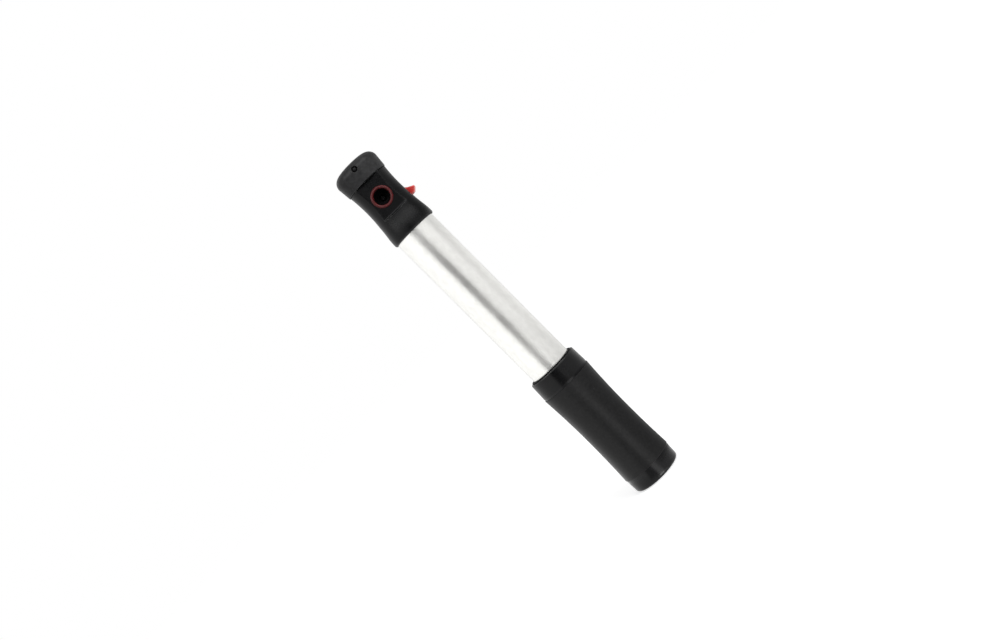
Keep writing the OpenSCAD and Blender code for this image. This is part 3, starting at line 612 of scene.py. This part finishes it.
sill = skin[slot_row[0], :slot_cols + 1]
lintel = skin[slot_row[1], :slot_cols + 1][::-1]
left_jamb = skin[slot_row[0]:slot_row[1] + 1, slot_cols]
right_jamb = skin[slot_row[0]:slot_row[1] + 1, 0][::-1]
head_patches += [wall_from(e) for e in (sill, lintel, left_jamb, right_jamb)]
floor_x = skin[slot_row[0], :slot_cols + 1, 0]
floor_z = rows_z[slot_row[0]:slot_row[1] + 1]
slot_end = np.stack(np.broadcast_arrays(floor_x[None, :], slot_floor, floor_z[:, None]), axis=-1)
head_patches.append((slot_end, grid_faces(len(floor_z), len(floor_x))))
inner = BARREL_R + FIXED_GAP
t = np.linspace(0, 1, 5)[:, None, None]
rim_inner = skin[0] * [1, 1, 0] * (inner / (RIM_R - RIM_ROUND)) + [0, 0, HEAD_LOW]
rim_flat = skin[0][None] * (1 - t) + rim_inner[None] * t
skirt_in = rim_flat[-1][None] + np.array([0, 0, 1.0]) * np.linspace(0, 3, 3)[:, None, None]
top_in = skin[-1][None] * (1 - t) + (skin[-1] * [0.6, 0.6, 1])[None] * t
head_patches += [(rim_flat[::-1], quads[:4]), (skirt_in[::-1], quads[:2]), (top_in, quads[:4])]


# Painted highlights: strength and width of the bell along the ledge, and width and height of the one round
# the rim.
LEDGE_HIGHLIGHT, LEDGE_BELL, RIM_BELL, RIM_BELL_AT = 0.4, 0.3, 0.4, 0.5


def head_edges_and_highlights(co, bend):
    """Bend of the skin below the seam, and painted highlights: bells along the ledge's outer edge and round
    the rim.
    """
    x, y, z = co.T
    reach = np.sqrt(np.maximum(head_radius(z) ** 2 - x ** 2, 0)) - FACE
    ledge = LEDGE_HIGHLIGHT * np.exp(-((z - FACE_Z + reach * LEDGE_SLOPE) / LEDGE_BELL) ** 2)
    ledge *= (y < 0) & (reach > 0.1)
    rim = np.exp(-((z - HEAD_LOW - RIM_BELL_AT) / RIM_BELL) ** 2) * (np.hypot(x, y) > RIM_R - 0.9)
    return np.clip(np.maximum(bend * (z < SEAM - 1), ledge + rim), 0, 1)


add_piece("moulded_head", head_patches, "pump_body", HEAD_PLASTIC, ["head_housing"],
          edge_of=head_edges_and_highlights)

# %% [markdown]
# ## The cap
# The cap is a second moulding, pushed over a post of the head and held by a cross pin whose round
# ends sit in two small holes. A boolean would spoil the mesh around the holes. Instead a window is
# taken out of the grid, and rings of points lead from the window's outline to a circle, all of them
# lying on the cap's own surface. The rim of the hole then rolls inward and becomes its wall.


# %% Cap
CAP_INSET, CAP_CHAMFER, CAP_ROUND = 0.65, 0.33, 4.5
foot = RIM_R - CAP_INSET
cap_outline = resampled(rounded([
    (7.0, SEAM, 0), (foot - CAP_CHAMFER, SEAM, 0), (foot, SEAM + CAP_CHAMFER, 0.25),
    (RIM_R, CAP_TOP - CAP_ROUND, 6.0), (RIM_R, CAP_TOP, CAP_ROUND), (0, CAP_TOP, 0)], 14), 0.45)
cap_turns = 240
cap_grid, cap_quads = lathe(cap_outline, cap_turns)
outer_rows = np.arange(len(cap_outline))[cap_outline[:, 1] > SEAM + 1]
hole_rows = outer_rows[np.abs(cap_outline[outer_rows, 1] - PIN_Z) < 2.3]
first_row, last_row = hole_rows[0], hole_rows[-1]
half_window = 7
HOLE_GAP, HOLE_LIP, HOLE_DEPTH = 0.35, 0.22, 4.2


def cap_front(x, z):
    """Distance of the cap's surface from the XZ plane at x and z, from its outline's radius there."""
    r = np.interp(z, cap_outline[outer_rows, 1], cap_outline[outer_rows, 0])
    return np.sqrt(r ** 2 - x ** 2)


def pin_hole(side):
    """Faces to leave out, and the ring patch of one hole; side is -1 in front and 1 behind."""
    middle = cap_turns * 3 // 4 if side < 0 else cap_turns // 4
    cols = np.arange(middle - half_window, middle + half_window + 1)
    rows = np.arange(first_row, last_row + 1)
    loop = np.concatenate([
        cap_grid[first_row, cols], cap_grid[rows[1:], cols[-1]], cap_grid[last_row, cols[-2::-1]],
        cap_grid[rows[-2:0:-1], cols[0]]])[:, [0, 2]]
    turn = np.arctan2(loop[:, 1] - PIN_Z, loop[:, 0])
    hole_r = PIN_R + HOLE_GAP
    ring = np.stack([np.cos(turn), np.sin(turn)], axis=-1)
    t = np.linspace(0, 1, 7)[:, None, None]
    flat = loop[None] * (1 - t) + ((hole_r + HOLE_LIP) * ring + [0, PIN_Z])[None] * t
    y = cap_front(flat[..., 0], flat[..., 1])
    roll = np.linspace(0, np.pi / 2, 6)[1:, None]
    lip = (hole_r + HOLE_LIP * (1 - np.sin(roll)))[..., None] * ring[None] + [0, PIN_Z]
    lip_y = y[-1] - HOLE_LIP * (1 - np.cos(roll))
    wall_y = lip_y[-1] - np.linspace(0, HOLE_DEPTH, 4)[1:, None]
    plane = np.concatenate([flat, lip, np.repeat(lip[-1:], 3, axis=0)])
    depth = np.concatenate([y, lip_y, wall_y])
    points = np.stack([plane[..., 0], side * depth, plane[..., 1]], axis=-1)
    return cols, (points, grid_faces(len(points), len(loop), wrap_cols=True))


left_out = np.zeros(cap_quads.shape[:2], dtype=bool)
cap_patches = []
for side in (-1, 1):
    cols, ring_patch = pin_hole(side)
    left_out[first_row:last_row, cols[:-1]] = True
    cap_patches.append(ring_patch)
cap_patches.append((cap_grid, cap_quads[~left_out]))
add_piece("moulded_cap", cap_patches, "pump_body", CAP_PLASTIC, ["top_cap"])

# %% [markdown]
# ## The valve port
# A red anodised ring is screwed into the flat, and behind it sits a rubber gasket that grips the
# valve. Both are turned shapes on the port's axis. The gasket has two soft lips inside, and when
# the lever is swung it is squeezed shorter; here it keeps a mesh of its own.

# %% Ring and gasket
mouth = 4.2
GASKET_BORE, GASKET_LIP, GASKET_GAP = 4.0, 0.16, 0.02
crest = (COLLAR_R + mouth) / 2
lip_r = (COLLAR_R - mouth) / 2
roll = np.linspace(0, np.pi, 25)
lip = np.stack([crest + lip_r * np.cos(roll), COLLAR_OUT - lip_r + lip_r * np.sin(roll)], -1)
ring_outline = np.concatenate([[[mouth, COLLAR_IN], [COLLAR_R, COLLAR_IN]], lip, [[mouth, COLLAR_IN]]])


def crest_highlight(co, bend):
    """Painted highlight: 1 on the ring's crest, falling off like a bell within half a millimetre."""
    off = np.hypot(co[:, 0], co[:, 2] - PORT_Z) - crest
    return np.exp(-(off / 0.4) ** 2) * (co[:, 1] < lip_r - COLLAR_OUT)


add_piece("port_ring", [turned_out_of_port(lathe(resampled(ring_outline, 0.4), 128))], "pump_body",
          RED_METAL, ["valve_collar"], edge_of=crest_highlight)
gasket_z = np.linspace(GASKET_IN, COLLAR_IN - GASKET_GAP, 40)
share = (gasket_z - GASKET_IN) / (COLLAR_IN - GASKET_IN)
lips = GASKET_BORE + GASKET_LIP * np.abs(np.sin(2 * np.pi * share))
gasket_outline = np.concatenate([
    [[GASKET_R, GASKET_IN], [GASKET_R, COLLAR_IN - GASKET_GAP]], np.stack([lips, gasket_z], -1)[::-1],
    [[GASKET_R, GASKET_IN]]])
gasket = add_piece("valve_seal", [turned_out_of_port(lathe(gasket_outline, 96))], "pump_body",
                   SOFT_BLACK, ["valve_gasket"])
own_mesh(gasket)

# %% [markdown]
# ## The lock lever
# A red lever lies across the back of the head, and only its thumb tip shows past the side. It is a
# bent band whose height and thickness change along its length, so it is a profile carried along a
# path: a rounded rectangle that follows an arc round the head and then runs out to the tip. Its hub
# is a cam round the pin, drawn as a radius that depends on the angle.


# %% Lever arm
def superellipse(count, power=5.0):
    """Rounded rectangle between -1 and 1: |a|^power + |b|^power = 1, walked once round."""
    turn = np.linspace(0, 2 * np.pi, count, endpoint=False)
    c, s = np.cos(turn), np.sin(turn)
    size = (np.abs(c) ** power + np.abs(s) ** power) ** (-1 / power)
    return c * size, s * size


ARM_HALF = 1.02
arm_r = ARM_OUT - ARM_HALF
arc_turn = np.radians(np.linspace(102, 42, 48))
arc_path = np.stack([arm_r * np.cos(arc_turn), arm_r * np.sin(arc_turn)], -1)
b0 = arc_path[-1]
b1 = b0 + 3.0 * np.array([np.sin(arc_turn[-1]), -np.cos(arc_turn[-1])])
b3 = np.array([TIP_X - 0.03, 4.86])
b2 = b3 - np.array([2.2, -0.9])
s = np.linspace(0, 1, 56)[1:, None]
bend_path = (1 - s) ** 3 * b0 + 3 * (1 - s) ** 2 * s * b1 + 3 * (1 - s) * s ** 2 * b2 + s ** 3 * b3
path = np.concatenate([arc_path, bend_path])
along = np.concatenate([[0], np.cumsum(np.linalg.norm(np.diff(path, axis=0), axis=1))])
tangent = np.gradient(path, along, axis=0)
tangent /= np.linalg.norm(tangent, axis=1, keepdims=True)
outward = np.stack([-tangent[:, 1], tangent[:, 0]], -1)
to_tip = along[-1] - along
low_x, low_z = [4.5, 6.75, 12.0, 13.6, TIP_X], [-4.45, -7.5, -8.6, -8.5, -6.75]
arm_top = np.interp(path[:, 0], [3.0, 6.75, 12.0, TIP_X], [4.45, 1.4, -3.7, -5.65])
arm_low = np.interp(path[:, 0], low_x, low_z)
kernel = np.hanning(11) / np.hanning(11).sum()
arm_top, arm_low = (np.convolve(np.pad(a, 5, mode="edge"), kernel, "valid") for a in (arm_top, arm_low))
thick = np.interp(to_tip, [0, 0.5, 2.5, 5.0, 8.0], [0.35, 0.55, 0.95, 1.15, ARM_HALF])
ribs = 0.05 * np.maximum(0, np.sin(2 * np.pi * (to_tip - 0.5) / 1.1)) * ((to_tip > 0.5) & (to_tip < 4.9))
across, up = superellipse(40)
out_side = np.where(across > 0, 1.0, 0.0)
offset = thick[:, None] * across + ribs[:, None] * out_side
flat_xy = path[:, None] + outward[:, None] * offset[..., None]
arm_z = PORT_Z + (arm_top + arm_low)[:, None] / 2 + (arm_top - arm_low)[:, None] / 2 * up
arm = np.concatenate([flat_xy, arm_z[..., None]], -1)
arm_ends = arm[[0, -1]].mean(axis=1, keepdims=True) + 0 * arm[[0, -1]]
arm = np.concatenate([arm_ends[:1], arm, arm_ends[1:]])
arm_patch = (arm[:, ::-1], grid_faces(len(arm), arm.shape[1], wrap_cols=True))

# %% Lever hub
HUB_R, HUB_HALF, HUB_ROUND, CAM_LIFT = 3.0, 4.5, 0.35, 1.6
CAM_BACK, NECK_TURN = np.radians(110), np.radians(72)
lift_rate = CAM_LIFT / (np.pi / 2)
turned = np.linspace(0, np.pi / 2, 40)
lift = HUB_R + lift_rate * turned
face = -np.pi / 2 - turned
cam_x = lift * np.cos(face) + lift_rate * np.sin(face)
cam_y = lift * np.sin(face) - lift_rate * np.cos(face)
back_x = np.linspace(cam_x[-1], HUB_R * np.cos(CAM_BACK), 12)
back_y = np.linspace(cam_y[-1], HUB_R * np.sin(CAM_BACK), 12)
cam_angle = np.unwrap(np.arctan2(np.r_[cam_y, back_y[1:]], np.r_[cam_x, back_x[1:]]))
cam_r = np.hypot(np.r_[cam_x, back_x[1:]], np.r_[cam_y, back_y[1:]])
hub_angle = np.linspace(0, 2 * np.pi, 144, endpoint=False)
wrapped = cam_angle[-1] + (hub_angle - cam_angle[-1]) % (2 * np.pi)
hub_r = np.interp(wrapped, cam_angle[::-1], cam_r[::-1], left=HUB_R, right=HUB_R)
to_band = -PIVOT_Y * np.sin(hub_angle) + np.sqrt(arm_r ** 2 - (PIVOT_Y * np.cos(hub_angle)) ** 2)
neck = np.clip((np.cos(hub_angle - NECK_TURN) - 0.80) / 0.12, 0, 1)
hub_r = np.maximum(hub_r, neck * to_band)
layer = np.radians(np.linspace(0, 90, 6))
sunk, stepped = HUB_ROUND * (1 - np.sin(layer)), HUB_ROUND * (1 - np.cos(layer))
inset = np.r_[2.0, sunk, sunk[::-1], 2.0]
hub_z = np.r_[-HUB_HALF, -HUB_HALF + stepped, HUB_HALF - stepped[::-1], HUB_HALF]
hub_rr = np.maximum(hub_r[None] - inset[:, None], 0.9)
hub = np.stack(np.broadcast_arrays(
    hub_rr * np.cos(hub_angle), PIVOT_Y + hub_rr * np.sin(hub_angle), PORT_Z + hub_z[:, None]), axis=-1)
hub_patch = (hub, grid_faces(len(hub), len(hub_angle), wrap_cols=True))


def tip_highlight_edge(co, bend):
    """Bend of the surface, and a bell along the tip's lower edge, where a highlight is painted."""
    from_low = co[:, 2] - PORT_Z - np.interp(co[:, 0], low_x, low_z)
    return np.maximum(0.4 * bend, np.exp(-(from_low / 0.7) ** 2) * (co[:, 0] > 11))


add_piece("thumb_lever", [arm_patch, hub_patch], "lever", RED_PLASTIC, ["lock_lever"],
          edge_of=tip_highlight_edge)

# %% [markdown]
# ## The handle
# The handle is a rubber grip between two gloss black rings. The grip is narrowest near its middle
# and swells to both ends, so its outline is a pair of parabolas. The rubber is pressed tight between
# the rings, so there is no gap: a small step in radius with its thin shadow, and the change from
# satin to gloss, are what the eye reads as separate pieces.


# %% Grip, band, lip and cup
def grip_radius(z):
    """Waist radius plus a swell that grows with the square of the distance from the waist."""
    above = z > GRIP_WAIST_Z
    reach = np.where(above, BAND_LOW, CUP_HIGH) - GRIP_WAIST_Z
    return GRIP_WAIST_R + np.where(above, SWELL_HIGH, SWELL_LOW) * ((z - GRIP_WAIST_Z) / reach) ** 2


END_ROUND = 0.04
from_end = END_ROUND * (1 - np.cos(np.linspace(0, np.pi / 2, 6)))
grip_z = np.concatenate([
    CUP_HIGH + from_end, np.linspace(CUP_HIGH, BAND_LOW, 96)[1:-1], BAND_LOW - from_end[::-1]])
edge_in = np.minimum(grip_z - CUP_HIGH, BAND_LOW - grip_z).clip(0, END_ROUND) / END_ROUND
grip_r = grip_radius(grip_z) - END_ROUND * (1 - np.sqrt(1 - (1 - edge_in) ** 2))
grip_outline = np.concatenate([
    [[SLEEVE_R, CUP_HIGH]], np.stack([grip_r, grip_z], -1), [[SLEEVE_R, BAND_LOW], [SLEEVE_R, CUP_HIGH]]])
add_piece("rubber_grip", [lathe(grip_outline, 224)], "handle", GRIP_RUBBER, ["grip_sleeve"])

BULGE, BULGE_AT, MOUTH_OUT = 0.1, 1.3, 0.47
mouth_r = GRIP_WAIST_R + MOUTH_OUT
band_outline = rounded([
    (SLEEVE_R, BAND_LOW, 0), (BAND_R, BAND_LOW, 0.03), (BAND_R + BULGE, BAND_LOW + BULGE_AT, 2.0),
    (mouth_r, BAND_HIGH, 0.6), (SLEEVE_R, BAND_HIGH, 0.1), (SLEEVE_R, BAND_LOW, 0)], 8)


def outer_rims(co, bend):
    """Bend at the foot, and a third of it at the mouth as a painted highlight; the seams against the rubber
    stay black.
    """
    return bend * (0.35 * (co[:, 2] > BAND_HIGH - 2) + (co[:, 2] < 2))


add_piece("front_band", [lathe(resampled(band_outline, 0.8), 224)], "handle", GLOSS_BLACK,
          ["front_collar"], edge_of=outer_rims)
lip_in, flange_r, flange_top = BARREL_R + SLIDING_GAP, LIP_R + 0.4, LIP_HIGH - 0.2
lip_outline = rounded([
    (lip_in, LIP_LOW, 0), (LIP_R, LIP_LOW, 0), (LIP_R, BAND_HIGH, 0), (flange_r, BAND_HIGH, 0.1),
    (flange_r, flange_top, 0.2), (lip_in, flange_top, 0.3), (lip_in, LIP_LOW, 0)], 8)
add_piece("mouth_lip", [lathe(resampled(lip_outline, 0.8), 192)], "handle", DARK_PLASTIC,
          ["mouth_bush"])
FOOT_ROUND, CUP_FLOOR = 1.5, 2.0
cup_outline = rounded([
    (0, 0, 0), (GRIP_WAIST_R + BULGE, 0, FOOT_ROUND), (CUP_R + BULGE, CUP_HIGH, 0.06),
    (SLEEVE_R, CUP_HIGH, 0), (SLEEVE_R, CUP_FLOOR, 0.3), (0, CUP_FLOOR, 0)], 10)
add_piece("end_cup", [lathe(resampled(cup_outline, 0.8), 224)], "handle", GLOSS_BLACK,
          ["end_cap"], edge_of=outer_rims)

# %% [markdown]
# ## The check valve's spring
# Inside the head a coil of steel wire holds a ball on its seat, and shortens as the ball lifts. A
# curve with a round bevel could make it. Here it is a circle carried along a helix, like the other
# pieces, and it keeps a mesh of its own, as the gasket does.

# %% Coil
COIL_LOW, COIL_HIGH = span("check_spring", 2)
wire_r, curls, ball_lift = 0.2, 6, 1.0
coil_r = span("check_spring", 0)[1] - wire_r
turn = np.linspace(0, 2 * np.pi * curls, 32 * curls + 1)[:, None]
rise = (COIL_HIGH - COIL_LOW - 2 * wire_r) * turn / turn[-1]
ring = np.linspace(2 * np.pi, 0, 12, endpoint=False)[None, :]
reach = coil_r + wire_r * np.cos(ring)
coil = np.stack(np.broadcast_arrays(
    reach * np.cos(turn), reach * np.sin(turn), COIL_LOW + wire_r + rise + wire_r * np.sin(ring)), axis=-1)
wire_ends = coil[[0, -1]].mean(axis=1, keepdims=True) + 0 * coil[[0, -1]]
coil = np.concatenate([wire_ends[:1], coil, wire_ends[1:]])
spring = add_piece("valve_coil", [(coil, grid_faces(len(coil), coil.shape[1], wrap_cols=True))], "pump_body",
                   STEEL, ["check_spring"])
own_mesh(spring)

# %% [markdown]
# ## Pieces that keep their shape
# The pins, seals, valve parts and bushes are already right as they come from the frame: they are
# turned or moulded shapes that hide inside the pump, or show only when it is pulled out. Each gets
# a finish of its own material in place of a plain colour, except the core pin, whose near black is
# painted shade inside the port.

# %% Finishes for the kept nodes
# core_pin takes the pin black as painted shade, so the inside of the port reads dark.
kept = {
    "cap_pin": DARK_PIN_AND_SHADE, "lever_pin": STEEL, "check_ball": STEEL,
    "piston_screw": STEEL, "rod_screw": STEEL, "rod_washer": STEEL, "core_pin": DARK_PIN_AND_SHADE,
    "gasket_plunger": DARK_PLASTIC, "guide_bush": BUSH_PLASTIC, "rod_anchor": BUSH_PLASTIC,
    "valve_plug": PLUG_METAL, "piston_head": PALE_PLASTIC, "handle_tube": BLACK_TUBE,
    "plunger_oring": SOFT_BLACK, "plug_oring": SOFT_BLACK, "piston_cup": SOFT_BLACK,
    "rod_bumper": SOFT_BLACK}
for name, material in kept.items():
    nodes[name].data.materials.clear()
    nodes[name].data.materials.append(material)
print("kept nodes:", len(kept))

# %% [markdown]
# ## Floor, light and background
# The photograph was taken in a bright tent: white all round, brighter on the left, greyer on the
# right, and a dark gap where the camera stands. That gap draws the dark stripe down the barrel.
# Metal and gloss show what surrounds them, so the tent is built as curved walls that only
# reflections see. Two lamps light the coloured pieces and the floor and cast the shadow. A floor
# that glows a little is white to the camera and still takes that shadow.


# %% Studio
def camera_like(tree):
    """1 for rays that should see the white background: camera, glossy and transmission rays."""
    path = tree.nodes.new("ShaderNodeLightPath")
    seen = math_node(tree, "MAXIMUM", path.outputs["Is Camera Ray"], path.outputs["Is Glossy Ray"])
    return math_node(tree, "MAXIMUM", seen, path.outputs["Is Transmission Ray"])


SKY_SEEN, SKY_LIGHT = 0.6, 0.4
FLOOR_GLOW, FLOOR_HALF, FLOOR_Z = 0.66, 6.0, -0.0003
world = bpy.data.worlds.new("white_tent")
bpy.context.scene.world = world
world.use_nodes = True
sky = world.node_tree.nodes["Background"]
sky.inputs["Color"].default_value = (1, 1, 1, 1)
world.node_tree.links.new(
    math_node(world.node_tree, "MULTIPLY_ADD", camera_like(world.node_tree), SKY_SEEN, SKY_LIGHT),
    sky.inputs["Strength"])


def stage_sheet(name, points, material):
    """Sheet of a (rows, cols, 3) grid in metres that belongs to the studio, not to the pump."""
    mesh = bpy.data.meshes.new(name)
    quads = grid_faces(*points.shape[:2]).reshape(-1, 4)
    mesh.from_pydata(points.reshape(-1, 3).tolist(), [], quads.tolist())
    mesh.materials.append(material)
    sheet = bpy.data.objects.new(name, mesh)
    bpy.context.scene.collection.objects.link(sheet)
    return sheet


floor_paint = bpy.data.materials.new("floor_paint")
floor_paint.use_nodes = True
tree = floor_paint.node_tree
base = tree.nodes["Principled BSDF"]
base.inputs["Base Color"].default_value = (0.86, 0.86, 0.86, 1)
base.inputs["Roughness"].default_value = 0.9
base.inputs["Specular IOR Level"].default_value = 0.0
glow = tree.nodes.new("ShaderNodeEmission")
tree.links.new(math_node(tree, "MULTIPLY", camera_like(tree), FLOOR_GLOW), glow.inputs["Strength"])
both = tree.nodes.new("ShaderNodeAddShader")
tree.links.new(base.outputs[0], both.inputs[0])
tree.links.new(glow.outputs[0], both.inputs[1])
tree.links.new(both.outputs[0], tree.nodes["Material Output"].inputs["Surface"])
side = np.array([-FLOOR_HALF, FLOOR_HALF])
floor_grid = np.stack(np.broadcast_arrays(side[None, :], side[:, None], FLOOR_Z), axis=-1)
stage_sheet("floor", floor_grid, floor_paint)


def tent_wall(name, azimuths, heights, distances, brightness):
    """Curved wall round the pump that only reflections see. Azimuth 0 is the camera, +X is positive."""
    paint = bpy.data.materials.new(name)
    paint.use_nodes = True
    paint.node_tree.nodes.remove(paint.node_tree.nodes["Principled BSDF"])
    light = paint.node_tree.nodes.new("ShaderNodeEmission")
    light.inputs["Strength"].default_value = brightness
    paint.node_tree.links.new(light.outputs[0], paint.node_tree.nodes["Material Output"].inputs["Surface"])
    a = np.radians(np.linspace(*azimuths, 25))[None, :]
    z, d = np.array(heights)[:, None], np.array(distances)[:, None]
    wall = stage_sheet(name, np.stack(np.broadcast_arrays(d * np.sin(a), -d * np.cos(a), z), axis=-1), paint)
    wall.visible_camera = wall.visible_diffuse = wall.visible_shadow = wall.visible_transmission = False


# Each wall: its name, azimuths in degrees, heights and distances in metres, and brightness.
low, high, tall, wall_at, on_floor = (0.0, 0.28), (0.28, 1.2), (0.0, 1.2), (1.0, 1.0), (0.0005, 0.0005)
walls = [
    ("left_low_wall", (-150, -27), low, wall_at, 1.13),
    ("left_high_wall", (-60, -27), high, wall_at, 0.9),
    ("left_high_side", (-150, -60), high, wall_at, 1.1),
    ("left_floor_near", (-150, -30), on_floor, (0.03, 0.27), 1.6),
    ("left_floor_far", (-150, -30), on_floor, (0.27, 1.0), 1.13),
    ("dark_gap", (-25, 10), low, wall_at, 0.06),
    ("dark_gap_top", (-42, 28), (0.28, 0.54), (0.99, 0.99), 0.02),
    ("front_top", (-75, 80), (0.5, 1.2), (0.98, 0.98), 4.4),
    ("dark_floor_far", (-28, 16), on_floor, (0.35, 1.0), 0.05),
    ("dark_floor_near", (-28, 0), on_floor, (0.08, 0.35), 0.75),
    ("dark_foot", (-28, 0), on_floor, (0.02, 0.08), 0.55),
    ("right_low_front", (11, 70), low, wall_at, 1.0),
    ("right_low_side", (70, 112), low, wall_at, 0.87),
    ("right_low_back", (112, 160), low, wall_at, 1.0),
    ("right_high_wall", (11, 160), high, wall_at, 0.36),
    ("right_floor_near", (30, 160), on_floor, (0.03, 0.44), 0.45),
    ("right_floor_front", (16, 42), on_floor, (0.37, 1.0), 0.2),
    ("right_floor_far", (42, 160), on_floor, (0.44, 1.0), 0.85),
    ("floor_strip", (0, 30), on_floor, (0.08, 0.32), 2.6),
    ("foot_strip", (1, 18), on_floor, (0.0164, 0.08), 2.5),
    ("foot_edge", (-5, 24), on_floor, (0.0147, 0.0164), 3.0),
    ("foot_glint", (1, 13), (0.0008, 0.0008), (0.0148, 0.0161), 12.0),
    ("back_left_wall", (-180, -150), tall, wall_at, 0.7),
    ("back_dark_wall", (160, 180), tall, wall_at, 0.35),
    ("back_left_floor", (-180, -150), on_floor, (0.03, 1.0), 0.7),
    ("back_dark_floor", (160, 180), on_floor, (0.03, 1.0), 0.35)]
for row in walls:
    tent_wall(*row)
print("walls:", len(walls))


LAMP_AIM_Z = 0.11


def soft_lamp(name, azimuth, distance, z, size, watts):
    """Square area lamp that faces the pump. It lights, but isn't mirrored: the walls are."""
    lamp_data = bpy.data.lights.new(name, "AREA")
    lamp_data.size = size
    lamp_data.energy = watts
    lamp = bpy.data.objects.new(name, lamp_data)
    bpy.context.scene.collection.objects.link(lamp)
    a = math.radians(azimuth)
    lamp.location = (distance * math.sin(a), -distance * math.cos(a), z)
    lamp.rotation_euler = (lamp.location - Vector((0, 0, LAMP_AIM_Z))).to_track_quat("Z", "Y").to_euler()
    lamp.visible_camera = lamp.visible_glossy = False


soft_lamp("left_lamp", -55, 1.0, 0.7, 0.7, 0.4)
soft_lamp("front_lamp", 34, 1.1, 0.4, 0.7, 9.0)
bpy.context.scene.view_settings.view_transform = "Standard"
